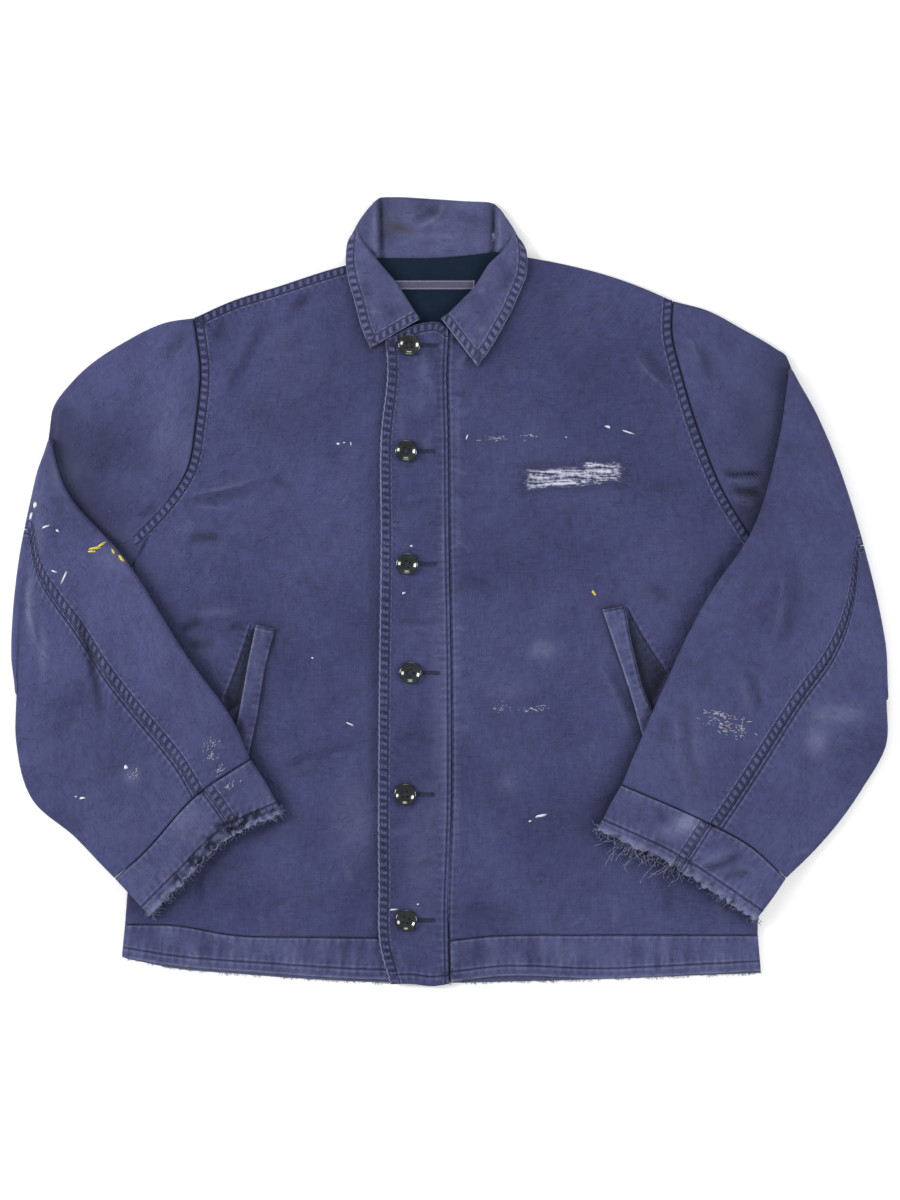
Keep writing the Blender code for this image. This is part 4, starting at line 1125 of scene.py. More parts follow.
def placket_piece():
    edges = [edge(table) for table in (PLACKET_END, PLACKET_TOP, PLACKET_EDGE, PLACKET_SEAM)]
    plan = patch(even(34), even(300), *edges)
    marks = woven(plan, placket_marks(plan))
    from_left = steps_along(plan, 1)
    pucker = np.sin(phase(steps_along(plan, 0), ROPE_PITCH)) * np.exp(-from_left / 9)
    plan[..., 0] += 0.35 * pucker
    # Painted shade under the collar leaves, and painted light and shade on the sharp creases.
    tone_marks(marks, plan, soil_and_shade=contact_shade(plan, LEAVES, 6, 0.3),
               wear=0.55 * ease(1 - from_left / 2.2), folds=creases(plan, BODY_CREASES, SHARP))
    under = front_under(plan) + WALL + SEAM_GAP + body_relief(plan)
    top = raised(plan, placket_top(plan, marks))
    shell("placket_cloth", plan, top, raised(plan, under), marks, TWILL)


placket_piece()


# %% Welts
def welt_pieces():
    for name, (inner, outer) in (("right", WELT_RIGHT), ("left", WELT_LEFT)):
        plan = patch(even(14), even(66), *ends_of(inner, outer), edge(inner), edge(outer))
        marks = woven(plan)
        inward = -1.3 if name == "left" else 1.3
        stitched_line(marks, plan, inner, 20, move=(inward, 0.0))
        stitched_line(marks, plan, [inner[0], outer[0]], 20, shift=12, move=(0.0, -1.6))
        from_mouth = np.abs(nearest(plan, along(outer, even(20)))[0])
        # Painted shade beside the sleeves, and painted light and shade on the welt's slow waves.
        tone_marks(marks, plan, soil_and_shade=contact_shade(plan, COVERS, 8, 0.3),
                   wear=0.55 * ease(1 - from_mouth / 2.5), folds=0.8 * wander(plan, 13, 32))
        across, run_at = nearest(plan, along(inner, even(20)))
        crumple = 0.5 * np.sin(run_at / 7.5 + np.abs(across) / 5) + 0.4 * wander(plan, 15, 31)
        base = front_under(plan) + LAYER + body_relief(plan)
        bulge = 1.4 * np.sin(math.pi * even(14))[None, :]
        top = raised(plan, base + WELT_WALL + bulge + crumple + 0.6 * seam_relief(marks))
        shell(f"welt_{name}_cloth", plan, top, raised(plan, base), marks, TWILL_WORN, inset=0.5)


welt_pieces()


# %% Neck lining and stay tape
def neck_pieces():
    plan = patch(even(60), even(40), edge(LINING_FOOT), edge(LINING_TOP),
                 edge(LINING_EDGES[0][::-1]), edge(LINING_EDGES[1][::-1]))
    marks = woven(plan)
    top = LAYER + LINING_WALL + 0.15 * wander(plan, 30, 51)
    shell("neck_lining_cloth", plan, raised(plan, top), raised(plan, LAYER), marks, LINING, inset=0.3)
    strip = np.dstack(np.meshgrid(np.linspace(*TAPE_SPAN, 60), np.linspace(*TAPE_EDGES, 10)))
    marks = woven(strip)
    low = WALL + LINING_WALL + 2 * SEAM_GAP
    top = low + TAPE_WALL + 0.12 * np.sin(strip[..., 0] / 1.9) + 0.15 * wander(strip, 22, 52)
    shell("neck_tape_cloth", strip, raised(strip, top), raised(strip, low), marks, TAPE, inset=0.3)


neck_pieces()

# %% [markdown]
# ## Collar
#
# The collar is one strip that stands up from the neck seam, rolls over and lies down as two pointed
# leaves. It is built from cuts across it: up the stand, round the roll and along the leaf. The rows
# of the table are those cuts; between them the values run smoothly, and then every cut is divided
# again, so that the leaf's edge can carry its puckered double stitching.

# %% Collar
COLLAR = [
    # seam x, y, roll x, y, edge x, y, seam z, roll z, edge z, turn of the leaf in degrees
    (-36, 251, -31, 254, -77, 227, 4.7, 7, 7.5, 90),
    (-46, 262, -42, 272, -86, 249, 4.7, 7, 7.5, 90),
    (-57, 275, -53, 289, -91, 270, 4.7, 7, 7.5, 90),
    (-68, 288, -66, 304, -97, 289, 4.7, 7, 7.4, 90),
    (-80, 302, -77, 317, -100, 307, 4.7, 6.9, 7.2, 90),
    (-88, 308, -86, 330, -99, 325, 4.4, 6.2, 6.2, 62),
    (-85, 311, -90, 340, -95, 332, 3.6, 5.2, 4.6, 5),
    (-77, 312, -81, 355, -85, 332, 2.8, 3.5, 2.5, -60),
    (-68, 312, -68, 369, -69, 323, 2.3, 2.2, 1, -90),
    (-46, 312, -46, 369, -46, 323, 2.3, 2.2, 1, -90),
    (-18, 312, -18, 367, -18, 323, 2.3, 2.2, 1, -90),
    (9, 314, 9, 365, 9, 325, 2.3, 2.2, 1, -90),
    (38, 317, 39, 364, 39, 328, 2.3, 2.2, 1, -90),
    (47, 318, 50, 350, 53, 330, 2.8, 3.5, 2.5, -60),
    (55, 318, 58, 337, 63, 329, 3.6, 5.2, 4.6, 5),
    (58, 314, 56, 328, 70, 320, 4.4, 6.2, 6.2, 62),
    (53, 304, 47, 317, 71, 309, 4.7, 6.9, 7.2, 90),
    (42, 291, 35, 306, 70, 295, 4.7, 7, 7.4, 90),
    (26, 275, 21, 283, 56, 262, 5.6, 8.1, 8.1, 90),
    (5, 256, -3, 259, 37, 228, 7, 9.4, 8.2, 90),
    (-5, 252, -10, 254, 24, 210, 7, 9.4, 8.6, 90),
]
ROLL_RADIUS = 1.2
COLLAR_STEP, COLLAR_ACROSS = 1.8, 62
ROLL_MIDDLE = 7
COLLAR_FELL = 0.4

# Darker places on the stand: mostly painted shade along its two pressed folds and its creases, with
# some stain.
STAND_SHADE_AND_STAINS = [
    (-30, 356, 22, 6, 0.34), (-57, 362, 12, 8, 0.14), (-12, 356, 13, 7, 0.2), (-60, 334, 8, 12, 0.22),
    (-84, 334, 9, 30, 0.26), (-67, 343, 1.4, 36, 0.4), (-62, 350, 5, 22, 0.2),
    (39, 341, 1.4, 30, 0.34), (34, 342, 5, 22, 0.26), (50, 330, 8, 24, 0.14),
]
STAND_BROWN = [
    (-51, 341, 10, 5, 0.85), (-41, 337, 7, 3, 0.4), (-60, 348, 6, 4, 0.3), (20, 340, 12, 6, 0.16),
]
STAND_CREASES = [
    (-68, 385, -66, 345, -65, 296, 3.5, -1.4), (-73, 380, -72, 343, -72, 300, 4, 1),
    (40, 382, 39, 345, 38, 298, 3.5, -1.4), (45, 378, 45, 342, 44, 300, 4, 1),
    (-10, 369, -12, 352, -37, 339, 3, 1.2), (-16, 366, -18, 356, -38, 346, 5, -0.6),
    (-52, 357, -36, 354, -22, 358, 4, 0.7), (-50, 330, -20, 333, 20, 329, 5, 0.5),
    (0, 358, 16, 348, 32, 352, 6, -0.6),
]
LEAF_CREASES = [
    (-78, 263, -70, 261, -62, 260, 3, 0.7), (21, 249, 27, 246, 34, 243, 3, 0.8),
    (23, 279, 28, 281, 34, 283, 3, 0.7), (-84, 292, -78, 284, -74, 275, 5, -0.8),
    (60, 300, 52, 290, 48, 278, 5, -0.8), (-60, 254, -55, 262, -48, 268, 5, -0.6),
]


def collar_section(row):
    """One cut across the collar: up the stand from the neck seam, round the roll, along the leaf."""
    seam, roll, free = (np.array(row[i:i + 2], float) for i in (0, 2, 4))
    seam_z, roll_z, edge_z, turn = row[6:]
    outward = sum((roll - end) / np.linalg.norm(roll - end) for end in (seam, free))
    outward = np.append(outward / np.linalg.norm(outward), 0.0)
    sideways = np.array([-outward[1], outward[0], 0.0])
    if seam[0] > NECK_CENTRE[0]:
        sideways = -sideways
    angle = math.radians(turn)
    to_leaf = math.cos(angle) * sideways + math.sin(angle) * UP
    centre = np.append(roll, roll_z) - ROLL_RADIUS * outward
    stand_end, leaf_start = centre - ROLL_RADIUS * to_leaf, centre + ROLL_RADIUS * to_leaf
    points = [np.append(seam, seam_z)]
    for step in (0.2, 0.5, 0.8):
        point = points[0] + (stand_end - points[0]) * step
        point[2] = stand_end[2]
        points.append(point)
    points.append(stand_end)
    for turn_share in even(7)[1:-1]:
        around = math.pi * turn_share
        points.append(centre + ROLL_RADIUS * (outward * math.sin(around) - to_leaf * math.cos(around)))
    tip = np.append(free, edge_z)
    points += [leaf_start + (tip - leaf_start) * step for step in (0.0, 0.3, 0.65, 1.0)]
    return np.array(points)


def resampled(line, count):
    """The same line of points, divided evenly along its length."""
    at = steps_along(line[None], 1)[0]
    wanted = np.linspace(0, at[-1], count)
    return np.stack([np.interp(wanted, at, line[:, k]) for k in range(line.shape[1])], axis=-1)


def normals(grid):
    normal = np.cross(np.gradient(grid, axis=0), np.gradient(grid, axis=1))
    return normal / np.maximum(np.linalg.norm(normal, axis=-1, keepdims=True), 1e-9)


def smoothed(grid, rounds):
    """Each row drawn towards its neighbours, with the two ends kept."""
    for _ in range(rounds):
        grid = np.concatenate([grid[:1], (grid[:-2] + 2 * grid[1:-1] + grid[2:]) / 4, grid[-1:]])
    return grid


def collar_piece():
    rows = np.array(COLLAR, float)
    free_run = steps_along(rows[None, :, 4:6], 1)[0] + steps_along(rows[None, :, 2:4], 1)[0]
    count = int(free_run[-1] / 2 / COLLAR_STEP)
    at = np.linspace(0, free_run[-1], count)
    dense = np.stack([np.interp(at, free_run, rows[:, k]) for k in range(rows.shape[1])], axis=-1)
    dense = smoothed(dense, 6)
    sections = [collar_section(row) for row in dense]
    middle = np.array([resampled(section, COLLAR_ACROSS) for section in sections])
    marks = woven(middle)
    across, run_at = steps_along(middle, 1), steps_along(middle, 0)
    from_edge = across[:, -1:] - across
    roll_at = np.array([steps_along(section[None], 1)[0, ROLL_MIDDLE] for section in sections])
    leaf = across > roll_at[:, None]
    from_front = np.minimum(run_at, run_at[-1:] - run_at)
    lay(marks, "felled", np.where(leaf, from_edge - FELL_HALF - COLLAR_FELL, FAR),
        run_at[:, -1:] + 0 * across)
    lay(marks, "felled", np.where(leaf, from_front - FELL_HALF - COLLAR_FELL, FAR), across)
    rim = ease(1 - np.minimum(from_edge, from_front) / 2.0) * leaf
    plan = middle[..., :2]
    stand = ~leaf & (middle[..., 1] > 305)
    shade_and_stains = spots(plan, STAND_SHADE_AND_STAINS) * stand
    folds = creases(plan, STAND_CREASES) * stand + creases(plan, LEAF_CREASES) * leaf
    tone_marks(marks, plan, wear=0.6 * rim)
    # Painted light on the fold ridges; painted shade in the fold hollows and along the foot of the
    # stand by the neck seam.
    marks["tone"][..., 0] += 0.06 + 0.15 * np.maximum(folds, 0)
    marks["weave"][..., 2] = spots(plan, STAND_BROWN) * stand
    marks["tone"][..., 1] = shade_and_stains + 0.25 * ease(1 - across / 5) * stand + 0.25 * np.maximum(-folds, 0)
    relief = seam_relief(marks) + folds + 0.5 * wander(plan, 26, 61) * leaf
    relief = relief + 0.6 * wander(plan, 34, 62) * stand
    normal = normals(middle)
    outer = middle + normal * (WALL / 2)
    inner = middle - normal * (WALL / 2)
    facing = np.where(normal[..., 2:] > 0, 1.0, -1.0)
    up = np.clip(np.abs(normal[..., 2:]), 0, 1)
    upper_is_outer = facing > 0
    push = normal * facing * relief[..., None] * up
    outer = outer + np.where(upper_is_outer, push, 0)
    inner = inner + np.where(upper_is_outer, 0, push)
    shell("collar_cloth", middle, outer, inner, marks, TWILL_WORN, inset=0.6)


collar_piece()

# %% [markdown]
# ## Sleeves and cuffs
#
# A sleeve is a tube pressed flat, so a ring of it is a flattened loop. Rings run from the armhole to
# the elbow, round the fold, and back down to the cuff. Two pieces share each ring: the long seam
# parts them. The lower half is held a little off the body by its own thickness, which makes the soft
# shadow that shows where it lies.

# %% Rings of a sleeve
UPPER_RINGS, LOWER_RINGS, FOLD_STEPS = 66, 120, 12
ACROSS_STEPS, RIM_STEPS = 72, 5
FIRST_LOWER = UPPER_RINGS - 1 + FOLD_STEPS
UNDER_LINE, SLEEVE_FELL, CLEAR = 3.4, 0.3, 0.008


def sleeve_outline(cut):
    shares = np.linspace(0, 1, 16, endpoint=False)
    return np.concatenate([along(cut["armhole"], shares), along(cut["top_edge"], shares),
                           along(cut["fold"][::-1], shares), along(cut["under_edge"][::-1], shares)])


def rest_height(plan, outline):
    """What the folded-over half of a sleeve lies on: the body, the upper sleeve, then the floor."""
    body = REST_ON_BODY * ease((inside_distance(plan, BODY_OUTLINE) + DRAPE_START) / DRAPE + 1)
    sleeve = 2 * TUBE_HALF * ease((inside_distance(plan, outline) + DRAPE_START) / DRAPE + 1)
    return np.maximum(body, sleeve)


def cuff_width(cut):
    return np.linalg.norm(np.array(cut["cuff_seam"][0]) - np.array(cut["cuff_seam"][-1]))


def tube_columns(width):
    """Shares across a flattened tube, close together where its edges are round."""
    rim = LOWER_HALF / width
    turn = 1 - np.cos(np.linspace(0, math.pi / 2, RIM_STEPS))
    inner = np.linspace(rim, 1 - rim, ACROSS_STEPS)
    return np.concatenate([rim * turn[:-1], inner, 1 - rim * turn[:-1][::-1]])


def away_from_body(row):
    """At each point of a sleeve's row, the direction away from the body."""
    normal = leftward(row)
    return normal if normal[len(row) // 2, 0] * row[0, 0] > 0 else -normal


def loft(plan):
    """How far the folded-over half stands off what it lies on: most along its inner edge."""
    body = ease(inside_distance(plan, BODY_OUTLINE) / 30)
    return 0.4 + 1.6 * body + 0.5 * wander(plan, 110, 71)


def sleeve_rings(cut, across):
    """Middle, upward direction and half thickness of each ring, from the armhole to the cuff."""
    armhole, fold, cuff = edge(cut["armhole"]), edge(cut["fold"]), edge(cut["cuff_seam"])
    upper = patch(across, np.linspace(SLEEVE_START, 1, UPPER_RINGS), armhole, fold,
                  edge(cut["under_edge"]), edge(cut["top_edge"]))
    lower = patch(across, even(LOWER_RINGS), fold, cuff,
                  edge(cut["outer_edge"]), edge(cut["inner_edge"]))
    upper[0] += away_from_body(upper[0]) * ARMHOLE_GAP
    outward = away_from_body(lower[0])
    round_ends = ease(np.minimum(across, 1 - across) / 0.16)[:, None]
    rings = [(row, UP, TUBE_HALF) for row in raised(upper, TUBE_HALF)[:-1]]
    for angle in np.linspace(0, math.pi, FOLD_STEPS):
        half = TUBE_HALF + (LOWER_HALF - TUBE_HALF) * angle / math.pi
        plan = lower[0] + outward * FOLD_RADIUS * math.sin(angle) * round_ends
        middle = raised(plan[None], TUBE_HALF + FOLD_RADIUS * (1 - math.cos(angle)))[0]
        up = np.column_stack([-outward * math.sin(angle), np.full(len(plan), math.cos(angle))])
        rings.append((middle, up, half))
    rest = rest_height(lower, sleeve_outline(cut)) + LOWER_HALF + SEAM_GAP + loft(lower)
    fold_height = TUBE_HALF + 2 * FOLD_RADIUS
    share = even(LOWER_RINGS)[:, None]
    height = rest + (fold_height - rest) * ease(1 - share / 0.10)
    return rings + [(row, -UP, LOWER_HALF) for row in raised(lower, height)[1:]]


def tube_strip(rings, across, stations, width):
    """Outer and inner grids of the strip of tube through these stations, and how far each faces up."""
    shares = np.array([share for share, _ in stations])
    sides = np.array([side for _, side in stations])
    inner_shares = WALL / width + shares * (1 - 2 * WALL / width)
    outer_grid, inner_grid, facing = [], [], []
    for middle, up, half in rings:
        up = np.broadcast_to(up, middle.shape)
        reach = np.clip(np.minimum(shares, 1 - shares) * width / half, 0.0, 1.0)
        bulge = np.sqrt(1 - (1 - reach) ** 2)
        for grid, at, thick in ((outer_grid, shares, half), (inner_grid, inner_shares, half - WALL)):
            base = np.stack([np.interp(at, across, middle[:, k]) for k in range(3)], axis=-1)
            lift = np.stack([np.interp(at, across, up[:, k]) for k in range(3)], axis=-1)
            grid.append(base + lift * (thick * bulge * sides)[:, None])
        facing.append(np.clip(sides * np.interp(shares, across, up[:, 2]), 0, 1) * bulge)
    return np.array(outer_grid), np.array(inner_grid), np.array(facing)


# %% Sleeve pieces
def sleeve_folds(plan, row_is_lower, cut, widest=99):
    """Creases of a sleeve: one table for the half by the armhole and one for the folded-over half."""
    near = 1 - ease((inside_distance(plan, lower_outline(cut)) + 2) / 10)
    upper = creases(plan, UPPER_CREASES, widest) * near
    return np.where(row_is_lower, creases(plan, LOWER_CREASES, widest), upper)


def sleeve_piece(side, name, cut, rings, across, stations, width, seam_end):
    outer, inner, facing = tube_strip(rings, across, stations, width)
    plan = outer[..., :2]
    marks = woven(outer)
    around, run_at = steps_along(outer, 1), steps_along(outer, 0)
    to_seam = around[:, -1:] - around if seam_end == -1 else around
    seam_run = run_at[:, seam_end][:, None] + 0 * around
    if name == "top":
        lay(marks, "felled", to_seam - FELL_HALF - SLEEVE_FELL, seam_run)
    else:
        lay(marks, "stitched", to_seam - UNDER_LINE, seam_run)
    rows = np.arange(outer.shape[0])[:, None]
    lower = rows > FIRST_LOWER
    above_fold = ease((UPPER_RINGS - 2 - rows) / 3)
    # Painted shade where the folded-over half lies on this one, and along the first ring by the
    # armhole; the sharp creases get painted light and shade.
    own_shade = contact_shade(plan, [lower_outline(cut)], 24, 0.66) * above_fold
    folds = sleeve_folds(plan, lower, cut) * ease(run_at / 8)
    tone_marks(marks, plan, soil_and_shade=own_shade + 0.8 * (rows == 0),
               folds=sleeve_folds(plan, lower, cut, SHARP))
    relief = folds + waves(plan, 0.6, 0.3, 81) * ease(run_at / 8) + seam_relief(marks)
    lift = np.zeros_like(outer)
    lift[..., 2] = relief * facing
    shell(f"sleeve_{side}_{name}_cloth", outer, outer + lift, inner + lift * 0.8, marks, TWILL_SLEEVE,
          inset=0.35)
    return outer + lift


def stations_of(across, seam, half_gap):
    """The two pieces' places round the tube: over the top and back to the seam, and the rest."""
    back = across[::-1]
    top = [(0.5 * half_gap, 1)] + [(share, 1) for share in across if share > 0]
    top += [(share, -1) for share in back[1:] if share > seam + CLEAR] + [(seam + half_gap, -1)]
    under = [(seam - half_gap, -1)] + [(share, -1) for share in back if 0 < share < seam - CLEAR]
    return top, under + [(0.5 * half_gap, -1)]


SLEEVES = {"right": SLEEVE_RIGHT, "left": SLEEVE_LEFT}
sleeve_grids = {}
for side, cut in SLEEVES.items():
    width = cuff_width(cut)
    across = tube_columns(width)
    rings = sleeve_rings(cut, across)
    top, under = stations_of(across, cut["seam_at"][0], SEAM_GAP / 2 / width)
    sleeve_grids[side, "top"] = sleeve_piece(side, "top", cut, rings, across, top, width, -1)
    sleeve_grids[side, "under"] = sleeve_piece(side, "under", cut, rings, across, under, width, 0)


# %% Cuffs
CUFF_RINGS = 30
CUFF_STITCH = 11.5


def cuff_piece(side, cut):
    """The cuff: a short tube whose end has worn ragged."""
    width = cuff_width(cut)
    across = tube_columns(width)
    edges = [edge(cut["cuff_" + key]) for key in ("seam", "end", "outer", "inner")]
    plan = patch(across, np.linspace(SEAM_GAP / 40, 1, CUFF_RINGS), *edges)
    height = rest_height(plan, sleeve_outline(cut)) + LOWER_HALF + SEAM_GAP + loft(plan)
    rings = [(row, -UP, LOWER_HALF) for row in raised(plan, height)]
    top, under = stations_of(across, cut["seam_at"][1], SEAM_GAP / 2 / width)
    outer, inner, facing = tube_strip(rings, across, under[:-1] + [(0.0, -1)] + top[1:], width)
    plan = outer[..., :2]
    around, run_at = steps_along(outer, 1), steps_along(outer, 0)
    to_end = run_at[-1:] - run_at
    ragged = 2.0 * wander(plan, 9, 101) + 1.4 * wander(plan, 4, 102)
    step = np.gradient(outer, axis=0)
    step /= np.linalg.norm(step, axis=-1, keepdims=True)
    fringe = ease(1 - to_end / 9)
    marks = woven(outer)
    lay(marks, "stitched", run_at, around)
    lay(marks, "stitched", to_end - CUFF_STITCH, around + 23)
    lay(marks, "felled", around[:, -1:] - around - FELL_HALF - SLEEVE_FELL, run_at + 60)
    lay(marks, "stitched", around - UNDER_LINE, run_at + 60)
    holes = ease(0.70 + 1.4 * wander(plan, 7, 103))
    torn = np.clip(spots(plan, TEARS) * holes, 0, 1) * ease(to_end / 1.2)
    folds = creases(plan, LOWER_CREASES)
    # Painted light and shade on the creases.
    tone_marks(marks, plan, soil_and_shade=0.95 * torn, wear=0.6 * fringe * (1 - torn), folds=folds)
    relief = folds + waves(plan, 0.5, 0.35, 95) + seam_relief(marks) - 1.8 * torn
    relief = relief + 1.0 * fringe * wander(plan, 5, 104)
    lift = np.zeros_like(outer)
    lift[..., 2] = relief * facing - 0.8 * fringe * facing
    shift = step * (ragged * fringe)[..., None]
    top, low = outer + lift + shift, inner + lift * 0.8 + shift
    shell(f"cuff_{side}_cloth", outer, top, low, marks, TWILL_WORN)
    return top


cuff_grids = {side: cuff_piece(side, cut) for side, cut in SLEEVES.items()}

# %% [markdown]
# ## Buttons
#
# Each button is turned: one profile, spun round. It is dished, with a raised rim and four sewing
# holes, and two crossed runs of thread in the dish hold it down. The buttons sit on the placket, so
# their height comes from the placket's own height rule.

# %% Buttons
BUTTON_PLACES = [(-40, 230), (-43, 131), (-42, 25), (-39, -77), (-44, -191), (-43, -309)]
BUTTON_TURNS = [12, 70, -28, 41, 5, -16]
BUTTON_PROFILE = [
    (0, 1.35), (3, 1.35), (5.6, 1.45), (7.2, 2.2), (8.4, 3), (9.3, 3.25), (10.1, 2.8),
    (10.4, 2), (9.9, 1.2), (8.9, 0.5), (7.6, 0.05), (4, 0), (0, 0),
]
BUTTON_LIFT, HOLE_REACH = 0.4, 2.1 * math.sqrt(2)
BUTTON_SIDES, HOLE_RADIUS, HOLE_SIDES = 48, 1.0, 12


def turned(profile, sides):
    """Points and faces of a profile spun about the vertical axis; its two ends lie on the axis."""
    points, rings, faces = [], [], []
    for radius, height in profile:
        count = sides if radius > 1e-6 else 1
        rings.append([len(points) + i for i in range(count)])
        angles = 2 * math.pi * np.arange(count) / sides
        points += [(radius * math.cos(a), radius * math.sin(a), height) for a in angles]
    for upper, lower in zip(rings, rings[1:]):
        for i in range(sides):
            j = (i + 1) % sides
            around = ((upper, i), (lower, i), (lower, j), (upper, j))
            faces.append(tuple(dict.fromkeys(ring[k % len(ring)] for ring, k in around)))
    return np.array(points), faces


def as_mesh(thing):
    """The plain mesh that an object's modifiers end in."""
    bpy.context.view_layer.update()
    return bpy.data.meshes.new_from_object(thing.evaluated_get(bpy.context.evaluated_depsgraph_get()))


def drilled_button():
    profile = along(BUTTON_PROFILE, even(40))
    profile[[0, -1], 0] = 0.0
    points, faces = turned(np.maximum(profile, 0.0), BUTTON_SIDES)
    body = mesh_piece("button_blank", points, faces, HORN)
    cutters = []
    for quarter in range(4):
        angle = math.pi / 4 + quarter * math.pi / 2
        reach = HOLE_REACH * MM
        bpy.ops.mesh.primitive_cylinder_add(
            vertices=HOLE_SIDES, radius=HOLE_RADIUS * MM, depth=8 * MM,
            location=(reach * math.cos(angle), reach * math.sin(angle), MM))
        cutters.append(bpy.context.object)
        hole = body.modifiers.new("sewing hole", "BOOLEAN")
        hole.object = cutters[-1]
        hole.operation = "DIFFERENCE"
    blank = as_mesh(body)
    for obj in [body, *cutters]:
        bpy.data.objects.remove(obj)
    return blank


def button_seat(x, y):
    spot = np.array([[(x, y)]], float)
    return placket_top(spot, placket_marks(spot))[0, 0] + BUTTON_LIFT


blank = drilled_button()
for number, ((x, y), turn) in enumerate(zip(BUTTON_PLACES, BUTTON_TURNS), start=1):
    mesh = blank.copy()
    angle = math.radians(turn)
    points = np.empty(len(mesh.vertices) * 3, np.float32)
    mesh.vertices.foreach_get("co", points)
    points = points.reshape(-1, 3)
    spun = np.stack([points[:, 0] * math.cos(angle) - points[:, 1] * math.sin(angle),
                     points[:, 0] * math.sin(angle) + points[:, 1] * math.cos(angle), points[:, 2]], -1)
    spun += np.array([x, y, button_seat(x, y)]) * MM
    mesh.vertices.foreach_set("co", spun.astype(np.float32).ravel())
    mesh.name = f"button_{number}_gloss"
    mesh.shade_smooth()
    mesh.set_sharp_from_angle(angle=math.radians(40))
    made[mesh.name] = placed(mesh.name, mesh)
print("buttons:", len(BUTTON_PLACES), "with", len(blank.polygons), "faces each")

# %% [markdown]
# ## Thread, grown along paths
#
# Stitches repeat along a path, which is what Geometry Nodes are for. A path is a mesh of edges. One
# tree turns it into a curve, sets points a stitch apart and puts a small spindle on each. A second
# tree gives any path a round thread's thickness. The result is made a plain mesh, so the model can
# leave Blender with all its stitches.

# %% Two thread trees
class Tree:
    """A Geometry Nodes tree with named sizes."""

    def __init__(self, name, sizes):
        self.group = bpy.data.node_groups.new(name, "GeometryNodeTree")
        face = self.group.interface
        face.new_socket("Geometry", in_out="INPUT", socket_type="NodeSocketGeometry")
        for size in sizes:
            face.new_socket(size, in_out="INPUT", socket_type="NodeSocketFloat")
        face.new_socket("Material", in_out="INPUT", socket_type="NodeSocketMaterial")
        face.new_socket("Geometry", in_out="OUTPUT", socket_type="NodeSocketGeometry")
        self.given = self.group.nodes.new("NodeGroupInput").outputs

    def node(self, kind, settings=None, inputs=None):
        node = self.group.nodes.new("GeometryNode" + kind)
        for key, value in (settings or {}).items():
            setattr(node, key, value)
        for key, value in (inputs or {}).items():
            if isinstance(value, bpy.types.NodeSocket):
                self.group.links.new(value, node.inputs[key])
            else:
                node.inputs[key].default_value = value
        return node.outputs

    def end(self, geometry):
        """Realise the copies, set their material and pass them on."""
        real = self.node("RealizeInstances", None, {"Geometry": geometry})["Geometry"]
        dressed = self.node("SetMaterial", None, {"Geometry": real, "Material": self.given["Material"]})
        out = self.group.nodes.new("NodeGroupOutput")
        self.group.links.new(dressed["Geometry"], out.inputs[0])

    def grow(self, name, lines, material, **sizes):
        """A plain mesh grown on lines of points in millimetres."""
        mesh = bpy.data.meshes.new(name)
        points = np.concatenate(lines) * MM
        starts = np.cumsum([0] + [len(line) for line in lines])
        edges = [(i, i + 1) for a, b in zip(starts, starts[1:]) for i in range(a, b - 1)]
        mesh.from_pydata(points.tolist(), edges, [])
        path = placed(name, mesh)
        grower = path.modifiers.new("thread", "NODES")
        grower.node_group = self.group
        for item in self.group.interface.items_tree:
            if item.in_out == "INPUT" and item.name == "Material":
                grower[item.identifier] = material
            elif item.in_out == "INPUT" and item.name in sizes:
                grower[item.identifier] = float(sizes[item.name] * MM)
        plain = as_mesh(path)
        path.modifiers.clear()
        path.data = plain
        plain.name = name
        plain.shade_smooth()
        made[name] = path
        print(f"{name}: {len(lines)} paths, {len(plain.polygons)} faces")


stitching = Tree("stitches", ["Pitch", "Length", "Thickness"])
curve = stitching.node("MeshToCurve", None, {"Mesh": stitching.given["Geometry"]})["Curve"]
spaced = stitching.node("ResampleCurve", {"mode": "LENGTH"},
                        {"Curve": curve, "Length": stitching.given["Pitch"]})
places = stitching.node("CurveToPoints", {"mode": "EVALUATED"}, {"Curve": spaced["Curve"]})
spindle = stitching.node("MeshIcoSphere", None, {"Radius": 0.5, "Subdivisions": 1})["Mesh"]
sizing = stitching.group.nodes.new("ShaderNodeCombineXYZ")
for axis, size in (("X", "Thickness"), ("Y", "Thickness"), ("Z", "Length")):
    stitching.group.links.new(stitching.given[size], sizing.inputs[axis])
stitches = stitching.node("InstanceOnPoints", None, {
    "Points": places["Points"], "Instance": spindle, "Rotation": places["Rotation"],
    "Scale": sizing.outputs[0]})
stitching.end(stitches["Instances"])

stranding = Tree("strands", ["Thickness"])
curve = stranding.node("MeshToCurve", None, {"Mesh": stranding.given["Geometry"]})["Curve"]
section = stranding.node("CurvePrimitiveCircle", {"mode": "RADIUS"},
                         {"Resolution": 4, "Radius": stranding.given["Thickness"]})["Curve"]
strand = stranding.node("CurveToMesh", None,
                        {"Curve": curve, "Profile Curve": section, "Fill Caps": True})
stranding.end(strand["Mesh"])

# %% [markdown]
# The rows of stitches lie where the marks say seams are: at the two sides of the felled strips of
# the armholes, right shoulder, placket and sleeves, and in the groove of the pocket, sleeve and cuff
# lines. On the fronts and the placket a row's height comes from the same rules as the cloth; on the
# sleeves and cuffs it is read off the piece's own grid.

# %% Rows of stitches
STITCH = dict(Pitch=3.4, Length=2.5, Thickness=0.75)
ROW_RISE = 0.15


def sew(name, rows):
    stitching.grow(name, rows, SEWING, **STITCH)


def offset_line(table, distance, count=90):
    """A line that runs beside a table's curve, to its left when the distance is above zero."""
    line = along(table, even(count))
    return line + leftward(line) * distance


def on_front(line, side):
    plan = line[None]
    return raised(plan, front_top(plan, front_marks(plan, side), side) + ROW_RISE)[0]


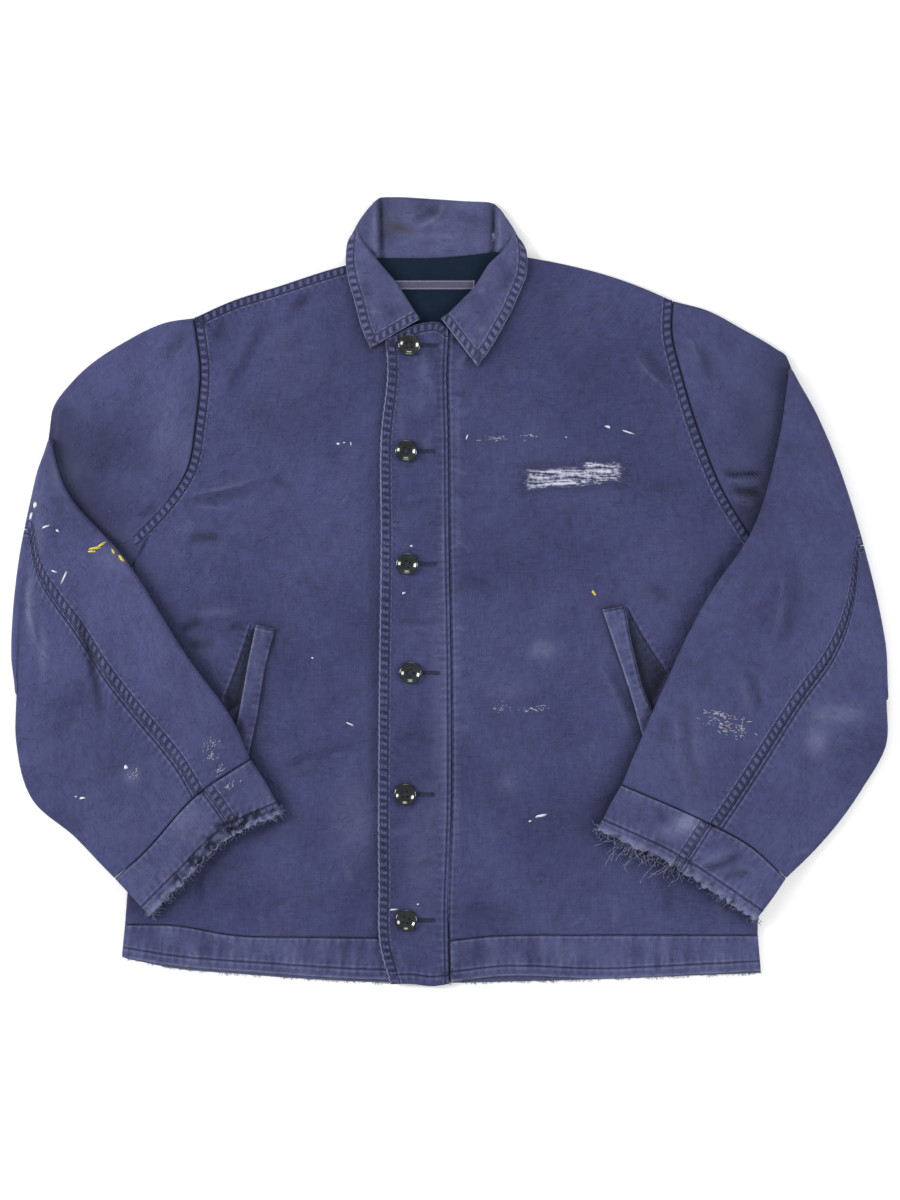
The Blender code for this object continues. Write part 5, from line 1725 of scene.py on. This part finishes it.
def on_placket(line):
    plan = line[None]
    return raised(plan, placket_top(plan, placket_marks(plan)) + ROW_RISE)[0]


def beside_column(grid, column, distance, rows):
    """A row on a grid at this distance from one of its end columns."""
    line = []
    for ring in grid[rows]:
        ring = ring if column == 0 else ring[::-1]
        at = steps_along(ring[None], 1)[0]
        line.append([np.interp(distance, at, ring[:, k]) for k in range(3)])
    return np.array(line)


def beside_row(grid, distance, columns):
    """A row on a grid at this distance from its last ring."""
    return beside_column(np.swapaxes(grid, 0, 1)[columns], -1, distance, slice(None))


def lifted(line, rise=ROW_RISE):
    return line + rise * UP


FELL_ROWS = (0.9, 2 * FELL_HALF - 0.9)
rows = []
for distance in FELL_ROWS:
    rows.append(on_front(offset_line(ARMHOLE_RIGHT, -distance), "right"))
    rows.append(on_front(offset_line(ARMHOLE_LEFT, distance), "left"))
    rows.append(on_front(offset_line(SHOULDER_RIGHT, -distance), "right"))
rows.append(on_front(along(POCKET_LINES[0], even(20)), "right"))
rows.append(on_front(along(POCKET_LINES[1], even(20)), "left"))
for distance in (PLACKET_ROW_1, PLACKET_ROW_2):
    rows.append(on_placket(offset_line(PLACKET_EDGE, -distance, 160)[3:-3]))
rows.append(on_placket(offset_line(PLACKET_TOP, -FELL_ROWS[1], 30)[2:-2]))
sew("body_stitches", rows)

lower = slice(FIRST_LOWER + 2, None)
for side, grid in cuff_grids.items():
    top = sleeve_grids[side, "top"]
    rows = [lifted(beside_column(top, -1, distance, lower)) for distance in FELL_ROWS]
    rows.append(lifted(beside_column(sleeve_grids[side, "under"], 0, UNDER_LINE, lower)))
    sew(f"sleeve_{side}_stitches", rows)
    seen = grid[0, :, 2] > grid[0, :, 2].mean()
    columns = np.flatnonzero(seen)
    breaks = np.split(columns, np.flatnonzero(np.diff(columns) > 1) + 1)
    rows = [lifted(beside_row(grid, CUFF_STITCH, part)) for part in breaks if len(part) > 3]
    sew(f"cuff_{side}_stitches", rows)

# %% [markdown]
# A buttonhole is a slit bound with thread: close stitches stand side by side round it. The path here
# runs round the slit, and a short bar is laid across the path at every step.

# %% Buttonholes
HOLE_LENGTH, HOLE_START, BIND_HALF = 15.0, 10.5, 1.5


def buttonhole_bars(x, y):
    """Short bars across the rim of one buttonhole, each a line of three points."""
    bars = []
    end = x + HOLE_START + HOLE_LENGTH
    for step in np.arange(0, HOLE_LENGTH, 0.9):
        for side in (-1, 1):
            at = x + HOLE_START + step
            swing = 0.25 * math.sin(at * 5 + side)
            bars.append([(at, y + side * 0.35), (at + swing, y + side * 1.1),
                         (at + swing, y + side * (BIND_HALF + 0.4))])
    for angle in np.linspace(-math.pi / 2, math.pi / 2, 7):
        bars.append([(end + r * math.cos(angle), y + r * math.sin(angle)) for r in (0.5, 1.2, 2.1)])
    return bars


bars = []
for x, y in BUTTON_PLACES:
    bars += [lifted(on_placket(np.array(bar, float)), 0.1) for bar in buttonhole_bars(x, y)]
stranding.grow("buttonhole_thread", bars, SEWING, Thickness=0.42)

crosses = []
for (x, y), turn in zip(BUTTON_PLACES, BUTTON_TURNS):
    seat = button_seat(x, y)
    for quarter in (0, 1):
        angle = math.radians(turn + 45 + 90 * quarter)
        ends = [np.array([x + reach * math.cos(angle), y + reach * math.sin(angle)])
                for reach in (-HOLE_REACH, HOLE_REACH)]
        t = even(5)[:, None]
        line = ends[0] * (1 - t) + ends[1] * t
        rise = seat + np.array([0.7, 1.75, 2.0 + 0.3 * quarter, 1.75, 0.7])
        crosses.append(np.column_stack([line, rise]))
stranding.grow("button_thread", crosses, SEWING, Thickness=0.45)

# %% [markdown]
# ## Frayed ends
#
# Worn cuffs and hems come apart into threads. Each loose thread starts in the worn edge, leaves it
# in its own direction, curls and drops. The random numbers start from a fixed seed, so the jacket is
# the same every time. The left cuff has a few long ones.

# %% Loose threads
def loose_thread(start, heading, length, floor, random, curl=0.5):
    """A curling thread of seven points that starts at a point and settles towards a floor height."""
    angle = math.atan2(heading[1], heading[0]) + random.normal(0, curl)
    point = np.array(start, float)
    line = [point.copy()]
    for _ in range(6):
        angle += random.normal(0, curl)
        step = length / 6
        point = point + step * np.array([math.cos(angle), math.sin(angle), 0.0])
        point[2] += random.normal(0, 0.25) + (floor - point[2]) * 0.22
        point[2] = max(point[2], floor)
        line.append(point.copy())
    return np.array(line)


def fringe(grid, columns, count, lengths, random, rest):
    """Threads along the ragged last ring of a piece."""
    ring, before = grid[-1], grid[-4]
    lines = []
    for _ in range(count):
        c = int(random.choice(columns))
        heading = ring[c] - before[c]
        start = ring[c] - heading * random.uniform(0.0, 1.2)
        start[2] -= random.uniform(0.0, 1.0)
        length = random.choice(lengths) * random.uniform(0.6, 1.3)
        lines.append(loose_thread(start, heading, length, rest(start[:2]), random))
    return lines


def body_rest(point):
    plan = np.array([[point]], float)
    if inside_distance(plan, BODY_OUTLINE)[0, 0] > 0:
        return front_under(plan)[0, 0] + WALL + 1.2
    return 0.6


def fray_pieces():
    random = np.random.default_rng(7)
    for side, lengths, count in (("right", (3.5, 5.0, 7.0), 520), ("left", (3.0, 5.0, 8.0), 420)):
        grid = cuff_grids[side]
        columns = np.arange(2, grid.shape[1] - 2)
        lines = fringe(grid, columns, count, lengths, random, body_rest)
        if side == "left":
            seen = np.flatnonzero(grid[-1, :, 2] > grid[-1, :, 2].mean())
            middle = seen[(grid[-1, seen, 0] > 150) & (grid[-1, seen, 0] < 215)]
            lines += fringe(grid, middle, 70, (14.0, 20.0, 26.0), random, body_rest)
        stranding.grow(f"cuff_{side}_fray", lines, FRAY, Thickness=0.3)
    lines = []
    hem = along(BAND_BACK, even(400))
    for x, y in hem[random.integers(0, 400, 420)]:
        start = np.array([x, y + 1.0, random.uniform(0.8, 2.2)])
        heading = (random.normal(0, 0.8), -1.0)
        lines.append(loose_thread(start, heading, random.uniform(2.0, 4.5), 0.3, random))
    stranding.grow("hem_fray", lines, FRAY, Thickness=0.2)


fray_pieces()

# %% [markdown]
# ## Old paint
#
# Specks and dashes of paint sit on the cloth as small flat crusts. A speck is a low dome with an
# uneven outline. A direction is in degrees. A scuffed patch is many small specks at random inside
# an oval.

# %% Paint specks
SPECKS = [
    # colour, what it lies on, and rows of x, y, length, width, direction
    ("white", "front", [(146, 154, 7, 3.2, -20), (165, 149, 15, 1.6, -18), (14, 144, 6, 1.4, 70),
                        (107, 144, 1.8, 1.4, 0), (-107, 138, 3.5, 2.6, 0), (-101, 139, 2.6, 1.6, 0),
                        (-95, 138, 1.2, 5, 0)]),
    ("white", "placket", [(-38, 42, 3.0, 2.2, 0), (-45, -2, 4.0, 2.4, 30), (-32, -294, 2.0, 2.0, 0),
                          (-55, -299, 10, 1.6, 4)]),
    ("white", "front", [(84, -211, 13, 3.0, 14), (73, -216, 3.0, 2.0, 20), (-96, -125, 10, 1.8, -25),
                        (-131, -63, 2.4, 2, 0)]),
    ("yellow", "front", [(133, -2, 6.5, 3.4, -55)]),
    ("white", "sleeve", [(-390, 80, 7, 4.0, 80), (-394, 70, 9, 2.6, 75), (-380, 60, 9, 2.4, 20),
                         (-369, 56, 4, 2, -30), (-363, 13, 16, 2, 65), (-372, 18, 6, 1.8, -20),
                         (-305, -165, 5, 4, 60), (-346, -194, 7, 2.6, 0), (-352, -193, 3, 1.6, 0)]),
    ("yellow", "sleeve", [(-333, 40, 14, 3.4, 10), (-328, 43, 12, 3.0, 35), (-337, 37, 8, 3.0, 0),
                          (-317, 37, 7, 2.6, -60), (-309, 30, 8, 3.2, -50)]),
]
SCUFFS = [
    # what it lies on, and rows of x, y, half length, half width, how many, direction
    ("front", [(45, -111, 12, 4, 16, 3), (82, -110, 17, 3, 18, 3), (43, 143, 12, 2.5, 34, 5),
               (72, 145, 8, 3, 12, 5)]),
    ("sleeve", [(256, -128, 22, 7, 62, -18), (252, -116, 18, 2, 40, -14), (270, -128, 9, 6, 30, -40),
                (-224, -143, 8, 5, 26, 40), (-226, -156, 5, 4, 18, 20), (-217, -168, 6, 5, 20, 40),
                (-208, -182, 8, 4, 22, 30), (-297, -172, 7, 6, 16, 0)]),
]
SPECK_SIDES = 9


def surface_height(grid, point):
    """Height of the nearest point that faces up on a piece's grid."""
    flat = grid.reshape(-1, 3)
    away = (flat[:, 0] - point[0]) ** 2 + (flat[:, 1] - point[1]) ** 2
    close = flat[away < 16.0]
    return close[:, 2].max() if len(close) else None


def cloth_height(kind, point):
    if kind == "sleeve":
        grids = [*sleeve_grids.values(), *cuff_grids.values()]
        heights = [surface_height(grid, point) for grid in grids]
        return max((height for height in heights if height is not None), default=None)
    spot = np.array([[point]], float)
    if kind == "placket":
        return placket_top(spot, placket_marks(spot))[0, 0]
    side = "right" if point[0] < -10 else "left"
    return front_top(spot, front_marks(spot, side), side)[0, 0]


def speck(point, height, length, width, direction, random):
    """A low closed dome with an uneven outline: a top point, a ring and a bottom point."""
    angles = np.linspace(0, 2 * math.pi, SPECK_SIDES, endpoint=False)
    reach = random.uniform(0.65, 1.15, SPECK_SIDES)
    turn = math.radians(direction)
    along_it, across_it = length / 2 * reach * np.cos(angles), width / 2 * reach * np.sin(angles)
    x = point[0] + along_it * math.cos(turn) - across_it * math.sin(turn)
    y = point[1] + along_it * math.sin(turn) + across_it * math.cos(turn)
    ring = np.column_stack([x, y, np.full(SPECK_SIDES, height + 0.12)])
    return np.vstack([ring, [[*point, height + 0.42]], [[*point, height - 0.2]]])


def paint_piece(name, domes, material):
    faces = []
    for base in range(0, len(domes) * (SPECK_SIDES + 2), SPECK_SIDES + 2):
        top = base + SPECK_SIDES
        for i in range(SPECK_SIDES):
            a, b = base + i, base + (i + 1) % SPECK_SIDES
            faces += [(a, b, top), (b, a, top + 1)]
    made[name] = mesh_piece(name, np.concatenate(domes), faces, material)
    print(f"{name}: {len(domes)} specks")


def paint_finish(name, dark, light):
    film = Finish(name)
    place = film.place()
    crust = film.noise(place, 0.7, 4, 0.6)
    return film.dress(film.mix(crust.fade(0.3, 0.7), dark, light), 0.55 + 0.3 * crust, 0.3 * crust)


def paint_pieces():
    random = np.random.default_rng(11)
    domes = {"white": [], "scuffs": [], "yellow": []}
    for colour, kind, rows in SPECKS:
        for x, y, length, width, direction in rows:
            height = cloth_height(kind, (x, y))
            domes[colour].append(speck((x, y), height, length, width, direction, random))
    for kind, rows in SCUFFS:
        for x, y, half_length, half_width, count, direction in rows:
            cos, sin = math.cos(math.radians(direction)), math.sin(math.radians(direction))
            longest = 6.0 if half_length > 14 else 3.4
            for _ in range(count):
                a, b = random.normal(0, 0.5, 2) * (half_length, half_width)
                spot = (x + a * cos - b * sin, y + a * sin + b * cos)
                height = cloth_height(kind, spot)
                if height is not None:
                    size = random.uniform(1.0, longest)
                    width = 0.4 + size * random.uniform(0.06, 0.16)
                    turn = direction + random.uniform(-35, 35)
                    domes["scuffs"].append(speck(spot, height, size, width, turn, random))
    for colour, dark, light in (("white", (0.42, 0.43, 0.48, 1), (0.80, 0.80, 0.82, 1)),
                                ("scuffs", (0.13, 0.14, 0.20, 1), (0.42, 0.43, 0.48, 1)),
                                ("yellow", (0.36, 0.28, 0.03, 1), (0.72, 0.60, 0.08, 1))):
        name = "paint_" + colour
        paint_piece(name, domes[colour], paint_finish(name, dark, light))


paint_pieces()

# %% [markdown]
# ## What each piece stands for
#
# Every visible piece rides on the jacket's one body. The solid that each cloth piece or button takes
# the place of is hidden. For each cloth piece the size that it was cut to is printed: the most that
# its flat grid is wide and long, and the area of that grid. The tape is 9 mm wide, narrower than the
# smallest sheet.

# %% Ride and replace
CLOTH = {
    # piece: node, slot, how it is held, what it rests on
    "back_cloth": ("back_panel", "twill", "laid", []),
    "back_band_cloth": ("waistband_back", "worn_twill", "laid", []),
    "front_right_cloth": ("front_right", "twill", "laid", ["back_cloth"]),
    "front_left_cloth": ("front_left", "twill", "laid", ["back_cloth", "front_right_cloth"]),
    "placket_cloth": ("placket", "twill", "laid", ["front_right_cloth"]),
    "neck_lining_cloth": ("neck_lining", "lining", "laid", ["back_cloth"]),
    "neck_tape_cloth": ("neck_tape", "stay_tape", "laid", ["neck_lining_cloth"]),
    "collar_cloth": ("collar", "worn_twill", "folded", ["front_right_cloth", "front_left_cloth"]),
}
for side in SLEEVES:
    front = [f"front_{side}_cloth"]
    CLOTH[f"band_{side}_cloth"] = f"waistband_front_{side}", "worn_twill", "laid", ["back_band_cloth"]
    CLOTH[f"welt_{side}_cloth"] = f"pocket_welt_{side}", "worn_twill", "laid", front
    CLOTH[f"cuff_{side}_cloth"] = f"cuff_{side}", "worn_twill", "laid", front
    for part in ("top", "under"):
        CLOTH[f"sleeve_{side}_{part}_cloth"] = f"sleeve_{side}_{part}", "twill", "folded", front
THREADS = {"button_thread": "button", "buttonhole_thread": "twill", "body_stitches": "twill"}

for name, piece in made.items():
    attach(piece, "root")
    if name in CLOTH:
        node, slot, held, below = CLOTH[name]
        width, length, area = cut_sizes[name]
        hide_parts(node)
        print(f"{name}: cut {width * 1000:.0f} x {length * 1000:.0f} mm, {area:.4f} square metres")
    elif name.endswith("_gloss"):
        slot = "button"
        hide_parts(name.removesuffix("_gloss"))
    else:
        slot = THREADS.get(name, "worn_twill")
print("pieces:", len(made))

# %% [markdown]
# ## Light, floor and camera
#
# The jacket is seen from straight above, as when a garment is laid on a white table to be measured.
# Four large soft lights stand round it, one on each side; the one beyond the hem makes no highlight
# in the buttons. The camera's field of view is set so that the whole frame covers the floor area
# that the pattern was measured in.

# %% Stage
FRAME_HIGH = 1.128
CAMERA_AT = (-0.0019, -0.0087)
LENS, SENSOR = 85.0, 36.0
FLOOR_REACH, FLOOR_LEVEL = 4000.0, -0.2

floor_finish = Finish("pale floor")
speckle = floor_finish.noise(floor_finish.place(), 0.02, 3)
pale = floor_finish.mix(speckle, (0.90, 0.90, 0.905, 1), (0.93, 0.93, 0.93, 1))
floor_finish.feed(floor_finish.shader.inputs["Base Color"], pale)
floor_finish.feed(floor_finish.shader.inputs["Roughness"], 0.75 + 0.1 * speckle)
corners = np.array([(-1, -1, 0), (1, -1, 0), (1, 1, 0), (-1, 1, 0)]) * FLOOR_REACH
corners[:, 2] = FLOOR_LEVEL
mesh_piece("floor", corners, [(0, 1, 2, 3)], floor_finish.material)

world = bpy.data.worlds.new("studio")
bpy.context.scene.world = world
world.use_nodes = True
sky = world.node_tree.nodes["Background"].inputs
sky["Color"].default_value, sky["Strength"].default_value = (1.0, 1.0, 1.0, 1.0), 0.36


def soft_light(name, place, target, size, power, seen_in_gloss=True):
    lamp = bpy.data.lights.new(name, "AREA")
    lamp.shape = "RECTANGLE"
    lamp.size, lamp.size_y = size
    lamp.energy = power
    light = placed(name, lamp)
    light.location = place
    aim = np.array(target) - np.array(place)
    light.rotation_euler = Vector(aim).to_track_quat("-Z", "Y").to_euler()
    light.visible_glossy = seen_in_gloss


soft_light("left softbox", (-2.1, 0.35, 1.1), (0, 0, 0), (0.8, 1.0), 60)
soft_light("right softbox", (2.1, -0.1, 1.2), (0, 0, 0), (0.8, 1.0), 34)
soft_light("top softbox", (0.0, 2.1, 1.5), (0, 0.1, 0), (1.2, 0.8), 20)
soft_light("foot softbox", (0.2, -2.2, 1.8), (0, -0.1, 0), (1.4, 0.9), 24, seen_in_gloss=False)

camera_data = bpy.data.cameras.new("camera")
camera_data.lens, camera_data.sensor_width = LENS, SENSOR
camera = placed("camera", camera_data)
camera.location = (*CAMERA_AT, FRAME_HIGH * LENS / SENSOR)
bpy.context.scene.camera = camera
bpy.context.scene.view_settings.view_transform = "Standard"
